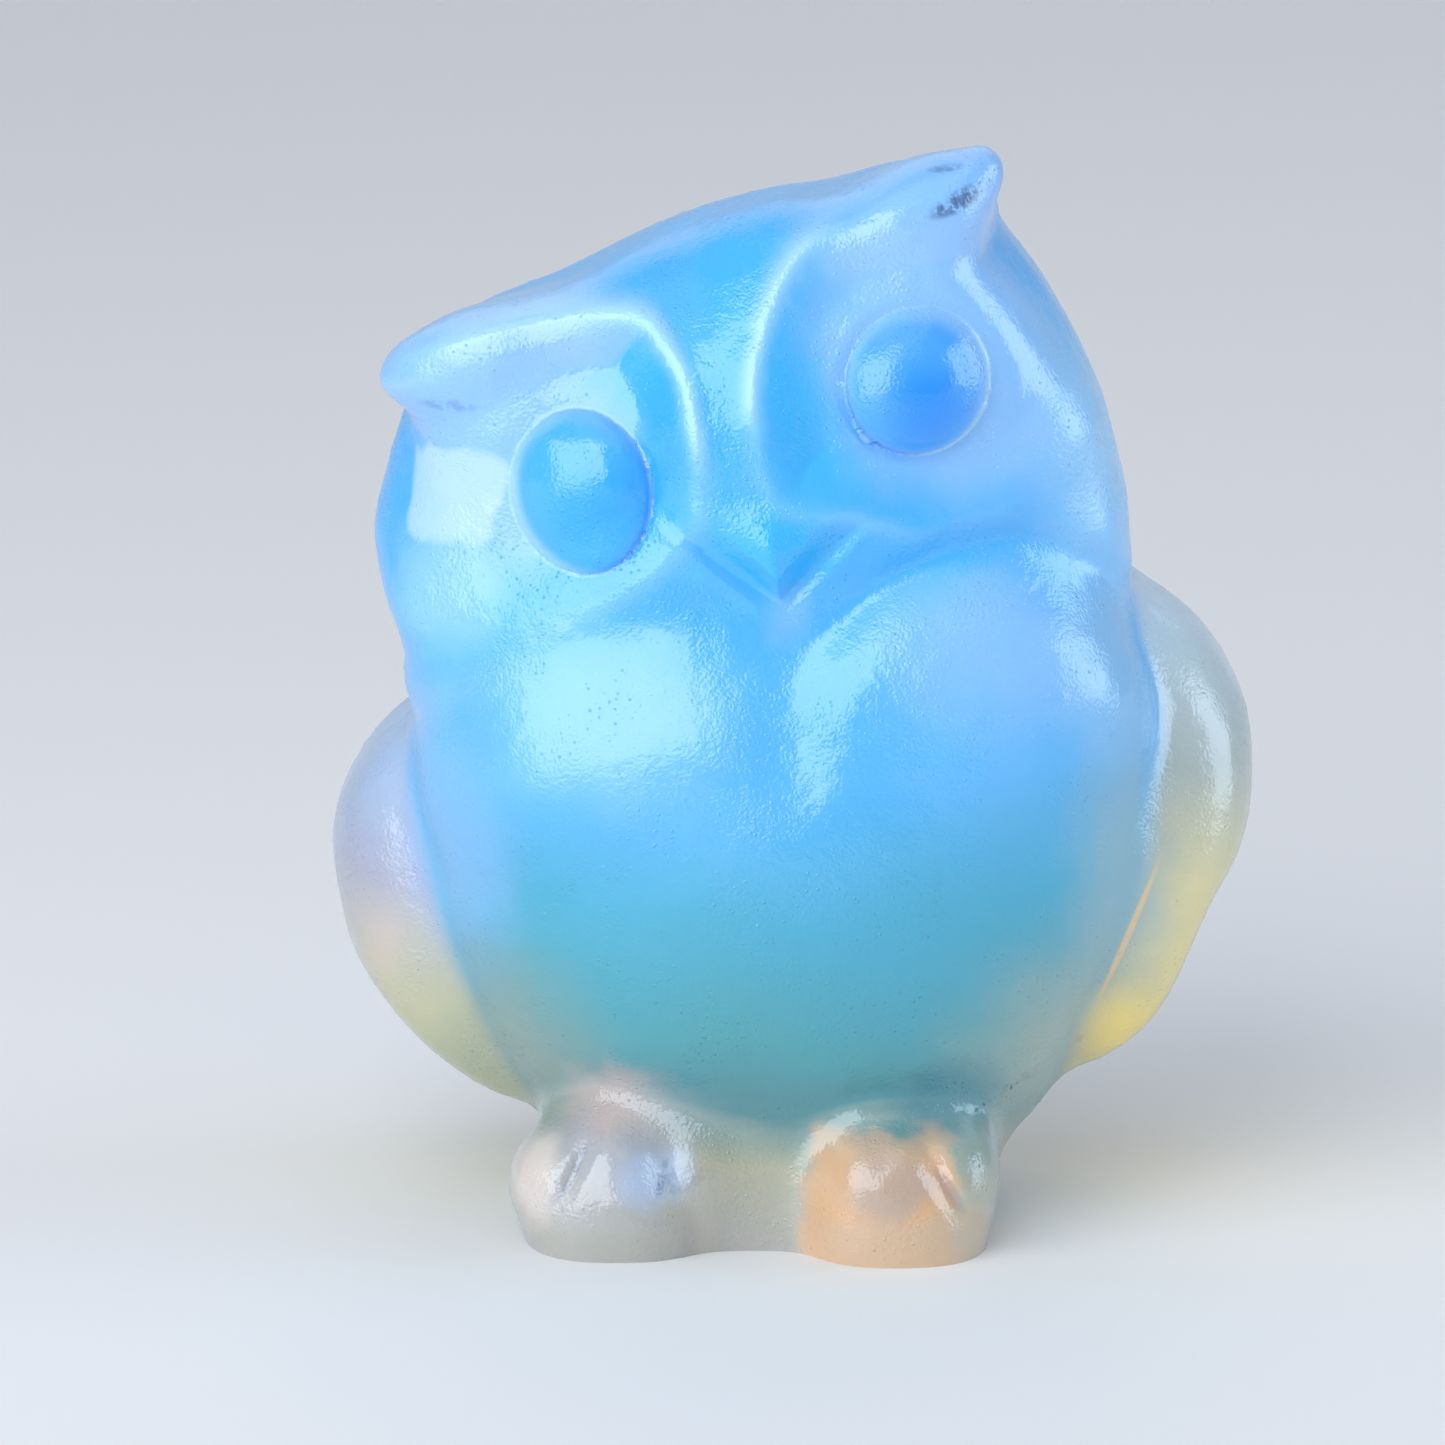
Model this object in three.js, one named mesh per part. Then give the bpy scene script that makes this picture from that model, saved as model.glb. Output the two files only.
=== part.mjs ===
// An owl carved from one piece of milky opal glass, sitting upright with its head tilted.
// Millimetres. +Z is up and the owl looks towards -Y, so +X is on the right of a viewer in front of it.
// The carving is one solid: a smooth closed surface found from a signed distance, which is negative
// inside the stone. It is meshed on a fine grid, thinned where the surface is nearly flat, and moved
// at last so that the origin is on its flat base, under the middle of its box.

import * as THREE from 'three';

const { degToRad, smoothstep, clamp, lerp } = THREE.MathUtils;

// Driving dimensions of the body: middle, half sizes, and how square the form is
const BELLY = { at: [0, -1, 13.4], half: [12.9, 10, 13.6], roll: 4 };
const CHEST = [
  { at: [-5.0, -3.2, 16.8], half: [7.6, 6.7, 5.2], roll: 12 },
  { at: [5.4, -3.0, 18.6], half: [6.4, 6.7, 5.5], roll: -12 },
];
const SEAT = { at: [-0.7, 0, 1.5], half: [7.8, 8.8, 6], power: 3 };
const TAIL = { at: [0, 6.6, 3.2], half: [4.2, 3.3, 7], pitch: 12, power: 2.2 };
const CHEST_BLEND = 1.8;
const SEAT_BLEND = 1.2;
const TAIL_BLEND = 1.6;
const BREAST_VALLEY = { at: [-0.1, 18.3], lean: 0, long: 3, wide: 1.5, deep: 0.3 };
// The line where the head rests on the chest, seen from the front: soft on the left and deeper on the right
const NECKLINE = [
  [-19.0, 13.0], [-15.5, 16.5], [-13.0, 18.4], [-11.6, 19.5], [-8.2, 20.7], [-4.9, 21.2], [-1.6, 21.2],
  [-0.1, 21.0], [1.5, 22.0], [2.9, 23.0], [5.2, 24.0], [7.4, 24.25], [8.6, 23.9], [9.6, 23.4], [10.7, 22.5],
  [12.5, 20.0], [19.0, 11.0],
];
const NECKLINE_LEFT = { deep: 0.05, wide: 1.1 };
const NECKLINE_RIGHT = { deep: 0.35, wide: 0.7 };
const NECKLINE_CHANGES = { from: -2, to: 3 };

// The head has a frame of its own, turned by its tilt: u runs across it and v up it
const TILT = 18.9;
const HEAD_AT = [-1.4, -0.6, 27.4];
const SKULL = { at: [0, HEAD_AT[1], -0.3], half: [13, 8.7, 7.7], power: 2.8, depthPower: 2.15 };
const NECK = { at: [-1.4, -0.4, 22.4], half: [13.9, 8.3, 7.6], roll: 4, power: 2.4, depthPower: 2.1 };
const LEFT_BROW = [[-3.0, -3.8, 4.1, 2.9], [-7.4, -4.0, 4.45, 2.6], [-11.3, -3.6, 5.3, 1.6]];
const RIGHT_BROW = [[3.0, -3.8, 4.1, 2.9], [7.2, -4.0, 4.6, 2.6], [10.6, -3.6, 5.75, 1.4]];
const NECK_BLEND = 1.2;
const BROW_JOINT = 1.5;
const BROW_BLEND = 2;
const HEAD_BLEND = 0.9;
const TRIM_BLEND = 1.6;

// The head's outline from the front, with an ear tip at each end of the brow: x and z
const HEAD_OUTLINE = [
  [-14.15, 29.3], [-14.05, 31.0], [-12.2, 32.05], [-8.2, 32.5], [-4.0, 35.3], [-1.0, 35.85], [1.4, 35.85],
  [4.2, 37.55], [6.2, 37.85], [7.1, 36.9], [7.05, 35.2], [7.2, 33.9], [8.65, 31.9], [10.2, 29.2],
  [11.4, 26.4], [11.7, 23.6], [11.6, 21.0], [9.5, 16.0], [0.0, 12.5], [-11.0, 14.0], [-13.45, 17.3],
  [-13.4, 19.6], [-14.2, 21.9], [-14.6, 23.9], [-14.1, 26.3], [-13.6, 27.9],
];

// The dished discs round the eyes, in the head's frame. Each is open towards its cheek
const DISCS = [
  {
    side: -1,
    deep: 1.0,
    wall: 2.1,
    outline: [
      [-12.0, 6.0], [-9.3, 6.5], [-6.7, 6.6], [-4.8, 6.4], [-3.2, 6.0], [-2.1, 5.5], [-1.7, 4.7],
      [-1.4, 3.3], [-1.6, 1.6], [-1.9, 0.0], [-2.4, -1.2], [-3.3, -2.0], [-4.5, -2.6], [-6.4, -3.1],
      [-8.3, -3.3], [-10.2, -3.0], [-13.0, -2.2], [-17.0, 1.0], [-16.0, 4.5],
    ],
  },
  {
    side: 1,
    deep: 0.85,
    wall: 2.5,
    outline: [
      [10.9, 5.5], [8.6, 6.3], [6.4, 6.5], [5.0, 6.3], [3.6, 5.8], [2.4, 4.8], [1.4, 3.4], [0.8, 2.2],
      [0.5, 0.9], [0.2, -0.5], [0.5, -1.7], [1.4, -2.3], [2.5, -2.8], [3.4, -3.5], [4.8, -4.4],
      [7.2, -4.8], [9.9, -4.1], [13.0, -2.6], [17.0, 0.0], [15.0, 4.0],
    ],
  },
];
// A disc's wall is steep at the beak and widens outwards, and towards the cheek the disc gets shallower
const WALL_OUTSIDE = { wide: 2.8, from: 2.6, to: 7.6 };
const SHALLOWER = { share: 0.45, from: 7, to: 12 };
const LIP = { high: 0.15, wide: 0.5, out: 0.1, from: 7.5, to: 11.5 };

// Domed eyes, seen from the front: middle and half sizes in x and z
const EYES = [
  { at: [-7.2, 26.1], half: [2.38, 2.72] },
  { at: [4.15, 29.85], half: [2.42, 2.42] },
];
const EYE_DOME = { high: 1.2, roundness: 0.6 };
const EYE_GROOVE = { deep: 0.1, wide: 0.35, out: 0.15 };

// The beak is a low pyramid between two grooves that meet at its tip: x and z
const BEAK = { left: [-3.75, 25.05], right: [2.05, 25.25], tip: [-0.45, 22.4], ridge: [-1.15, 26.4] };
const BEAK_ROOF = { high: 0.9, rise: 0.9, slope: 0.75, ridge: 0.14, full: 24.2, top: 26.6 };
const BEAK_GROOVE = { deep: 0.15, wide: 0.35, full: 24.7, top: 25.5, bottom: 20.4, start: 21.6 };

// Folded wings: outline from the front, and a rounded block that the outline trims
const WINGS = [
  {
    block: { at: [-10.1, 2.6, 10.4], half: [6.7, 6.9, 9.4], roll: 6, pitch: -7, power: 2.2 },
    outline: [
      [-12.9, 16.6], [-15.0, 14.8], [-16.1, 12.6], [-15.85, 10.3], [-15.15, 8.3], [-13.25, 6.0],
      [-11.15, 4.3], [-9.4, 3.5], [-6.5, 3.9], [-4.2, 8.0], [-4.8, 14.0], [-9.5, 18.4],
    ],
  },
  {
    block: { at: [10.3, 2.2, 12.8], half: [6.8, 6.9, 10.0], roll: -3, pitch: -14, power: 2.2 },
    outline: [
      [11.2, 21.3], [12.7, 20.5], [14.55, 19.0], [15.85, 16.8], [16.05, 14.4], [15.6, 12.4], [14.35, 10.4],
      [12.85, 7.2], [11.3, 5.5], [9.6, 4.7], [6.5, 4.4], [4.4, 9.0], [4.8, 16.0], [7.5, 21.0],
    ],
  },
];
const WING_BLEND = 0.8;
// The flank is hollowed in front of the right wing's tip
const FLANK_HOLLOW = { at: [10.3, 6.4], lean: 27, long: 3.2, wide: 1.4, deep: 0.6 };

// Feet: a low pad with toes on it, and the hollows beside the toes, seen from the front
const FEET = [
  { at: [-6.0, -6.3, 0.9], half: [3.2, 4.1, 3.6], power: 2.5 },
  { at: [-7.9, -6.9, 2.0], half: [1.8, 2.6, 1.8] },
  { at: [-6.3, -7.2, 3.1], half: [1.2, 2.4, 1.4], roll: -6 },
  { at: [-3.6, -6.3, 2.5], half: [1.2, 2.6, 1.9] },
  { at: [3.5, -7.0, 1.0], half: [3.2, 4.1, 3.7], power: 2.5 },
  { at: [2.9, -8.4, 2.8], half: [1.6, 2.3, 1.4] },
  { at: [5.6, -7.4, 2.4], half: [1.4, 2.6, 1.9], roll: -8 },
];
const TOE_GAPS = [
  { at: [-7.4, 3.0], lean: 27, long: 1.4, wide: 0.3, deep: 0.25 },
  { at: [-4.4, 2.7], lean: 15, long: 1.0, wide: 0.8, deep: 0.35 },
  { at: [2.9, 3.8], lean: 0, long: 0.6, wide: 0.4, deep: 0.12 },
  { at: [4.95, 2.8], lean: -30, long: 1.3, wide: 0.4, deep: 0.28 },
];
const TOE_BLEND = 0.9;
const FOOT_BLEND = 1.4;

// The reliefs fade in from the sides of the head and body to their front, over these depths
const FACE_FRONT = { from: 0, to: 4.5 };
const CHEST_FRONT = { from: 1, to: 5, above: 12 };
const FEET_FRONT = { from: 6, below: 6 };

// The mesh: a fine grid first, then edges are folded away where the surface is nearly flat
const ACROSS = { from: -17, to: 17 };
const DEEP = { from: -13, to: 12 };
const UP = { from: 0, to: 38.5 };
const CELL = 0.48;
const COARSE_CELLS = 4;
const OUTLINE_STEPS = 8;
const FAR = 5;
const SLOPE_REACH = 0.25;
const FLATTEST_SLOPE = 0.15;
const SETTLE_STEPS = 3;
const CELL_MARGIN = 0.05;
const JUST_INSIDE = -1e-3;
const TRIANGLES = 9000;
const FLATTEST_TURN = 0.2;

function smoothMin(a, b, blend) {
  const near = Math.max(blend - Math.abs(a - b), 0) / blend;
  return Math.min(a, b) - near * near * blend / 4;
}

function smoothMax(a, b, blend) {
  return -smoothMin(-a, -b, blend);
}

function bell(offset, width) {
  return Math.exp(-((offset / width) ** 2));
}

// Coordinates of a point in axes turned by an angle in radians
function turn(a, b, angle) {
  const c = Math.cos(angle);
  const s = Math.sin(angle);
  return [a * c + b * s, b * c - a * s];
}

// Distance to a rounded block. Power 2 makes an ellipsoid, and more makes it squarer
function block(x, y, z, { at, half, roll = 0, pitch = 0, power = 2, depthPower = power }) {
  const [py, pz] = turn(y - at[1], z - at[2], degToRad(pitch));
  const [qx, qz] = turn(x - at[0], pz, degToRad(roll));
  const ax = Math.abs(qx) / half[0];
  const ay = Math.abs(py) / half[1];
  const az = Math.abs(qz) / half[2];
  const flat = ax ** power + az ** power + 1e-9;
  const total = flat ** (depthPower / power) + ay ** depthPower;
  const size = total ** (1 / depthPower);
  const outer = total ** (1 / depthPower - 1);
  const inner = flat ** (depthPower / power - 1);
  const slope = Math.hypot(
    outer * inner * ax ** (power - 1) / half[0],
    outer * ay ** (depthPower - 1) / half[1],
    outer * inner * az ** (power - 1) / half[2],
  );
  return (size - 1) / Math.max(slope, 1e-6);
}

// Distance to a rod between two points that each have a radius of their own
function rod(x, y, z, [ax, ay, az, ra], [bx, by, bz, rb]) {
  const [dx, dy, dz] = [bx - ax, by - ay, bz - az];
  const along = ((x - ax) * dx + (y - ay) * dy + (z - az) * dz) / (dx * dx + dy * dy + dz * dz);
  const t = clamp(along, 0, 1);
  return Math.hypot(x - ax - t * dx, y - ay - t * dy, z - az - t * dz) - (ra + (rb - ra) * t);
}

// A smooth line through the given points, closed or open
function lineThrough(points, closed) {
  const stops = points.map(([a, b]) => new THREE.Vector3(a, b, 0));
  const curve = new THREE.CatmullRomCurve3(stops, closed, 'catmullrom', 0.5);
  const line = curve.getPoints(points.length * OUTLINE_STEPS).map((p) => [p.x, p.y]);
  return closed ? line.slice(0, -1) : line;
}

// Distance in a plane to a closed outline, negative inside it
function outlineDistance(a, b, ring) {
  let nearest = Infinity;
  let inside = false;
  let [pa, pb] = ring[ring.length - 1];
  for (const [qa, qb] of ring) {
    const da = qa - pa;
    const db = qb - pb;
    const t = clamp(((a - pa) * da + (b - pb) * db) / (da * da + db * db), 0, 1);
    nearest = Math.min(nearest, Math.hypot(a - pa - t * da, b - pb - t * db));
    if ((pb > b) !== (qb > b) && a < pa + (b - pb) * da / db) inside = !inside;
    [pa, pb] = [qa, qb];
  }
  return inside ? -nearest : nearest;
}

// Distance in a plane to an open line
function lineDistance(a, b, line) {
  let nearest = Infinity;
  for (let i = 1; i < line.length; i++) {
    const [pa, pb] = line[i - 1];
    const da = line[i][0] - pa;
    const db = line[i][1] - pb;
    const t = clamp(((a - pa) * da + (b - pb) * db) / (da * da + db * db), 0, 1);
    nearest = Math.min(nearest, Math.hypot(a - pa - t * da, b - pb - t * db));
  }
  return nearest;
}

// Distance from a line through two points, positive on its left
function sideOf(x, z, [ax, az], [bx, bz]) {
  const dx = bx - ax;
  const dz = bz - az;
  return ((z - az) * dx - (x - ax) * dz) / Math.hypot(dx, dz);
}

// Depth of a spindle-shaped hollow
function dent(x, z, { at, lean, long, wide, deep }) {
  const [across, along] = turn(x - at[0], z - at[1], -degToRad(lean));
  return deep * Math.exp(-((along / long) ** 2) - (across / wide) ** 2);
}

const neckLine = lineThrough(NECKLINE, false);
const headRing = lineThrough(HEAD_OUTLINE, true);
const discRings = DISCS.map((disc) => lineThrough(disc.outline, true));
const wingRings = WINGS.map((wing) => lineThrough(wing.outline, true));

// Each relief is a height over the form that it is cut in
function eyeRelief(x, z) {
  let high = 0;
  for (const { at, half } of EYES) {
    const q = Math.hypot((x - at[0]) / half[0], (z - at[1]) / half[1]);
    const out = (q - 1) * half[0];
    high += EYE_DOME.high * Math.max(1 - q * q, 0) ** EYE_DOME.roundness;
    high -= EYE_GROOVE.deep * bell(out - EYE_GROOVE.out, EYE_GROOVE.wide);
  }
  return high;
}

function discRelief(u, v) {
  let high = 0;
  DISCS.forEach(({ side, deep, wall: narrow }, i) => {
    const d = outlineDistance(u, v, discRings[i]);
    const out = side * u;
    const wall = narrow + (WALL_OUTSIDE.wide - narrow) * smoothstep(out, WALL_OUTSIDE.from, WALL_OUTSIDE.to);
    const lip = LIP.high * bell(d - LIP.out, LIP.wide) * (1 - smoothstep(out, LIP.from, LIP.to));
    const shallower = 1 - SHALLOWER.share * smoothstep(out, SHALLOWER.from, SHALLOWER.to);
    high += lip - deep * shallower * smoothstep(-d, 0, wall);
  });
  return high;
}

function beakRelief(x, z) {
  const { left, right, tip, ridge } = BEAK;
  const inside = Math.min(sideOf(x, z, left, tip), sideOf(x, z, tip, right));
  const within = Math.max(inside, 0);
  const ridgeX = ridge[0] + (tip[0] - ridge[0]) * (ridge[1] - z) / (ridge[1] - tip[1]);
  const share = within / (within + BEAK_ROOF.slope * Math.hypot(x - ridgeX, BEAK_ROOF.ridge));
  const fades = 1 - smoothstep(z, BEAK_ROOF.full, BEAK_ROOF.top);
  const roof = share * fades * smoothstep(within, 0, BEAK_ROOF.rise);
  const upper = 1 - smoothstep(z, BEAK_GROOVE.full, BEAK_GROOVE.top);
  const lower = smoothstep(z, BEAK_GROOVE.bottom, BEAK_GROOVE.start);
  return BEAK_ROOF.high * roof - BEAK_GROOVE.deep * bell(inside, BEAK_GROOVE.wide) * upper * lower;
}

function neckRelief(x, z) {
  const right = smoothstep(x, NECKLINE_CHANGES.from, NECKLINE_CHANGES.to);
  const deep = lerp(NECKLINE_LEFT.deep, NECKLINE_RIGHT.deep, right);
  const wide = lerp(NECKLINE_LEFT.wide, NECKLINE_RIGHT.wide, right);
  return -deep * bell(lineDistance(x, z, neckLine), wide);
}

function bodyDistance(x, y, z) {
  let body = block(x, y, z, BELLY);
  for (const lobe of CHEST) body = smoothMin(body, block(x, y, z, lobe), CHEST_BLEND);
  body = smoothMin(body, block(x, y, z, SEAT), SEAT_BLEND);
  return smoothMin(body, block(x, y, z, TAIL), TAIL_BLEND);
}

function headDistance(x, y, z) {
  const [u, v] = turn(x - HEAD_AT[0], z - HEAD_AT[2], degToRad(TILT));
  let head = block(u, y, v, SKULL);
  head = smoothMin(head, block(x, y, z, NECK), NECK_BLEND);
  for (const brow of [LEFT_BROW, RIGHT_BROW]) {
    const bump = smoothMin(rod(u, y, v, brow[0], brow[1]), rod(u, y, v, brow[1], brow[2]), BROW_JOINT);
    head = smoothMin(head, bump, BROW_BLEND);
  }
  if (Math.abs(head) > FAR) return head;
  head = smoothMax(head, outlineDistance(x, z, headRing), TRIM_BLEND);
  const facing = smoothstep(-y, FACE_FRONT.from, FACE_FRONT.to);
  return facing > 0 ? head - (discRelief(u, v) + eyeRelief(x, z)) * facing : head;
}

function wingDistance(x, y, z, i) {
  const wing = block(x, y, z, WINGS[i].block);
  return wing > FAR ? wing : smoothMax(wing, outlineDistance(x, z, wingRings[i]), TRIM_BLEND);
}

function owlDistance(x, y, z) {
  let stone = smoothMin(bodyDistance(x, y, z), headDistance(x, y, z), HEAD_BLEND);
  const facing = smoothstep(-y, CHEST_FRONT.from, CHEST_FRONT.to);
  if (facing > 0 && z > CHEST_FRONT.above && Math.abs(stone) < FAR) {
    stone += (dent(x, z, BREAST_VALLEY) - beakRelief(x, z) - neckRelief(x, z)) * facing;
  }
  stone += dent(x, z, FLANK_HOLLOW);
  WINGS.forEach((_, i) => {
    stone = smoothMin(stone, wingDistance(x, y, z, i), WING_BLEND);
  });
  const lumps = FEET.map((lump) => block(x, y, z, lump));
  stone = smoothMin(stone, lumps.reduce((feet, lump) => smoothMin(feet, lump, TOE_BLEND)), FOOT_BLEND);
  if (-y > FEET_FRONT.from && z < FEET_FRONT.below) {
    for (const gap of TOE_GAPS) stone += dent(x, z, gap);
  }
  return stone;
}

function gridLines({ from, to }) {
  const count = Math.ceil((to - from) / CELL);
  return Array.from({ length: count + 1 }, (_, i) => from + (to - from) * i / count);
}

// Moves a point onto the surface along the slope of the distance, but not out of its cell. The slope is
// taken over a cell's width, so that points in a crease don't jump to one side. A base point stays at z = 0
function settle(point, flat, low, high) {
  for (let round = 0; round < SETTLE_STEPS; round++) {
    const slope = [0, 1, 2].map((axis) => {
      if (flat && axis === 2) return 0;
      const before = [...point];
      const beyond = [...point];
      before[axis] -= SLOPE_REACH;
      beyond[axis] += SLOPE_REACH;
      return (owlDistance(...beyond) - owlDistance(...before)) / (2 * SLOPE_REACH);
    });
    const steepness = dot(slope, slope);
    if (steepness < FLATTEST_SLOPE) return;
    const step = owlDistance(...point) / steepness;
    for (let axis = 0; axis < 3; axis++) {
      const margin = CELL_MARGIN * (high[axis] - low[axis]);
      const moved = clamp(point[axis] - step * slope[axis], low[axis] + margin, high[axis] - margin);
      if (!flat || axis < 2) point[axis] = moved;
    }
  }
}

// Distances at the grid's nodes. Blocks of cells that the surface can't reach get their middle's distance
function gridDistances(axes, size, node) {
  const value = new Float64Array(size[0] * size[1] * size[2]).fill(FAR);
  const reach = COARSE_CELLS * CELL;
  for (let k0 = 1; k0 < size[2]; k0 += COARSE_CELLS) {
    for (let j0 = 0; j0 < size[1]; j0 += COARSE_CELLS) {
      for (let i0 = 0; i0 < size[0]; i0 += COARSE_CELLS) {
        const corner = [axes[0][i0], axes[1][j0], axes[2][k0]];
        const middle = owlDistance(...corner.map((c) => c + reach / 2));
        const near = Math.abs(middle) < reach * 1.5;
        for (let k = k0; k < Math.min(k0 + COARSE_CELLS, size[2]); k++) {
          for (let j = j0; j < Math.min(j0 + COARSE_CELLS, size[1]); j++) {
            for (let i = i0; i < Math.min(i0 + COARSE_CELLS, size[0]); i++) {
              value[node(i, j, k)] = near ? owlDistance(axes[0][i], axes[1][j], axes[2][k]) : middle;
            }
          }
        }
      }
    }
  }
  return value;
}

// Where the corners of a grid face are in and out of the stone by turns, two sheets of the surface
// would share an edge. The outer corner nearest to the surface is taken into the stone, until none is left
function openCrossings(value, size, node) {
  const pairs = [[0, 1], [0, 2], [1, 2]];
  for (let found = true; found;) {
    found = false;
    for (let k = 1; k < size[2] - 1; k++) {
      for (let j = 0; j < size[1] - 1; j++) {
        for (let i = 0; i < size[0] - 1; i++) {
          for (const [first, second] of pairs) {
            const a = [i, j, k];
            const b = [i, j, k];
            const c = [i, j, k];
            a[first] += 1;
            b[second] += 1;
            c[first] += 1;
            c[second] += 1;
            const face = [node(i, j, k), node(...a), node(...c), node(...b)];
            const inside = face.map((n) => value[n] < 0);
            if (inside[0] !== inside[2] || inside[1] !== inside[3] || inside[0] === inside[1]) continue;
            const outer = inside[0] ? [face[1], face[3]] : [face[0], face[2]];
            value[value[outer[0]] < value[outer[1]] ? outer[0] : outer[1]] = JUST_INSIDE;
            found = true;
          }
        }
      }
    }
  }
}

// One point in each cell that the surface crosses, joined across each crossed edge of the grid.
// The lowest layer of cells is flattened, so that the stone stands on a flat base at z = 0
function meshStone() {
  const xs = gridLines(ACROSS);
  const ys = gridLines(DEEP);
  const zs = [-1, ...gridLines(UP)];
  const axes = [xs, ys, zs];
  const size = axes.map((lines) => lines.length);
  const node = (i, j, k) => (k * size[1] + j) * size[0] + i;
  const value = gridDistances(axes, size, node);
  openCrossings(value, size, node);

  const corners = [0, 1, 2, 3, 4, 5, 6, 7].map((c) => [c & 1, (c >> 1) & 1, c >> 2]);
  const edges = corners.flatMap((a, p) => corners.flatMap((b, q) => {
    const apart = Math.abs(a[0] - b[0]) + Math.abs(a[1] - b[1]) + Math.abs(a[2] - b[2]);
    return q > p && apart === 1 ? [[a, b]] : [];
  }));
  const points = [];
  const pointOf = new Map();
  for (let k = 0; k < size[2] - 1; k++) {
    for (let j = 0; j < size[1] - 1; j++) {
      for (let i = 0; i < size[0] - 1; i++) {
        const cell = [i, j, k];
        const crossed = [];
        let changes = 0;
        for (const [a, b] of edges) {
          const va = value[node(i + a[0], j + a[1], k + a[2])];
          const vb = value[node(i + b[0], j + b[1], k + b[2])];
          if ((va < 0) === (vb < 0)) continue;
          changes += 1;
          const upright = a[2] !== b[2];
          if (k === 0 && upright) continue;
          const t = va / (va - vb);
          crossed.push([0, 1, 2].map((axis) => {
            const from = axes[axis][cell[axis] + a[axis]];
            const to = axes[axis][cell[axis] + b[axis]];
            return from + (to - from) * t;
          }));
        }
        if (changes === 0) continue;
        const middle = crossed.length
          ? [0, 1, 2].map((axis) => crossed.reduce((sum, p) => sum + p[axis], 0) / crossed.length)
          : [(xs[i] + xs[i + 1]) / 2, (ys[j] + ys[j + 1]) / 2, 0];
        if (k === 0) middle[2] = 0;
        if (crossed.length) settle(middle, k === 0, [xs[i], ys[j], zs[k]], [xs[i + 1], ys[j + 1], zs[k + 1]]);
        pointOf.set(node(i, j, k), points.length);
        points.push(middle);
      }
    }
  }

  const triangles = [];
  const addQuad = (a, b, c, d, flip) => {
    const corner = flip ? [a, d, c, b] : [a, b, c, d];
    const span = (p, q) => Math.hypot(...points[p].map((v, axis) => v - points[q][axis]));
    if (span(corner[0], corner[2]) <= span(corner[1], corner[3])) {
      triangles.push(corner[0], corner[1], corner[2], corner[0], corner[2], corner[3]);
    } else {
      triangles.push(corner[1], corner[2], corner[3], corner[1], corner[3], corner[0]);
    }
  };
  const cellAt = (i, j, k) => pointOf.get(node(i, j, k));
  for (let k = 0; k < size[2] - 1; k++) {
    for (let j = 1; j < size[1] - 1; j++) {
      for (let i = 1; i < size[0] - 1; i++) {
        const inside = value[node(i, j, k)] < 0;
        if (k > 0 && inside !== value[node(i + 1, j, k)] < 0) {
          addQuad(cellAt(i, j - 1, k - 1), cellAt(i, j, k - 1), cellAt(i, j, k), cellAt(i, j - 1, k), !inside);
        }
        if (k > 0 && inside !== value[node(i, j + 1, k)] < 0) {
          addQuad(cellAt(i - 1, j, k - 1), cellAt(i - 1, j, k), cellAt(i, j, k), cellAt(i, j, k - 1), !inside);
        }
        if (inside !== value[node(i, j, k + 1)] < 0) {
          addQuad(cellAt(i - 1, j - 1, k), cellAt(i, j - 1, k), cellAt(i, j, k), cellAt(i - 1, j, k), !inside);
        }
      }
    }
  }

  return { points, triangles };
}

// A quadric holds the squared distances to a set of planes, as the ten terms of a symmetric matrix
function planeQuadric([a, b, c], d, weight) {
  return [a * a, a * b, a * c, a * d, b * b, b * c, b * d, c * c, c * d, d * d].map((term) => term * weight);
}

function quadricError(q, [x, y, z]) {
  return q[0] * x * x + 2 * q[1] * x * y + 2 * q[2] * x * z + 2 * q[3] * x + q[4] * y * y
    + 2 * q[5] * y * z + 2 * q[6] * y + q[7] * z * z + 2 * q[8] * z + q[9];
}

// The point with the least error, or null where the planes leave it free to slide
function quadricPoint(q) {
  const rows = new THREE.Matrix3().set(q[0], q[1], q[2], q[1], q[4], q[5], q[2], q[5], q[7]);
  const scale = (q[0] + q[4] + q[7]) ** 3;
  if (Math.abs(rows.determinant()) < 1e-4 * scale) return null;
  return new THREE.Vector3(-q[3], -q[6], -q[8]).applyMatrix3(rows.invert()).toArray();
}

function faceNormal(p, q, r) {
  const [ax, ay, az] = [q[0] - p[0], q[1] - p[1], q[2] - p[2]];
  const [bx, by, bz] = [r[0] - p[0], r[1] - p[1], r[2] - p[2]];
  return [ay * bz - az * by, az * bx - ax * bz, ax * by - ay * bx];
}

function dot(a, b) {
  return a[0] * b[0] + a[1] * b[1] + a[2] * b[2];
}

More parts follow.
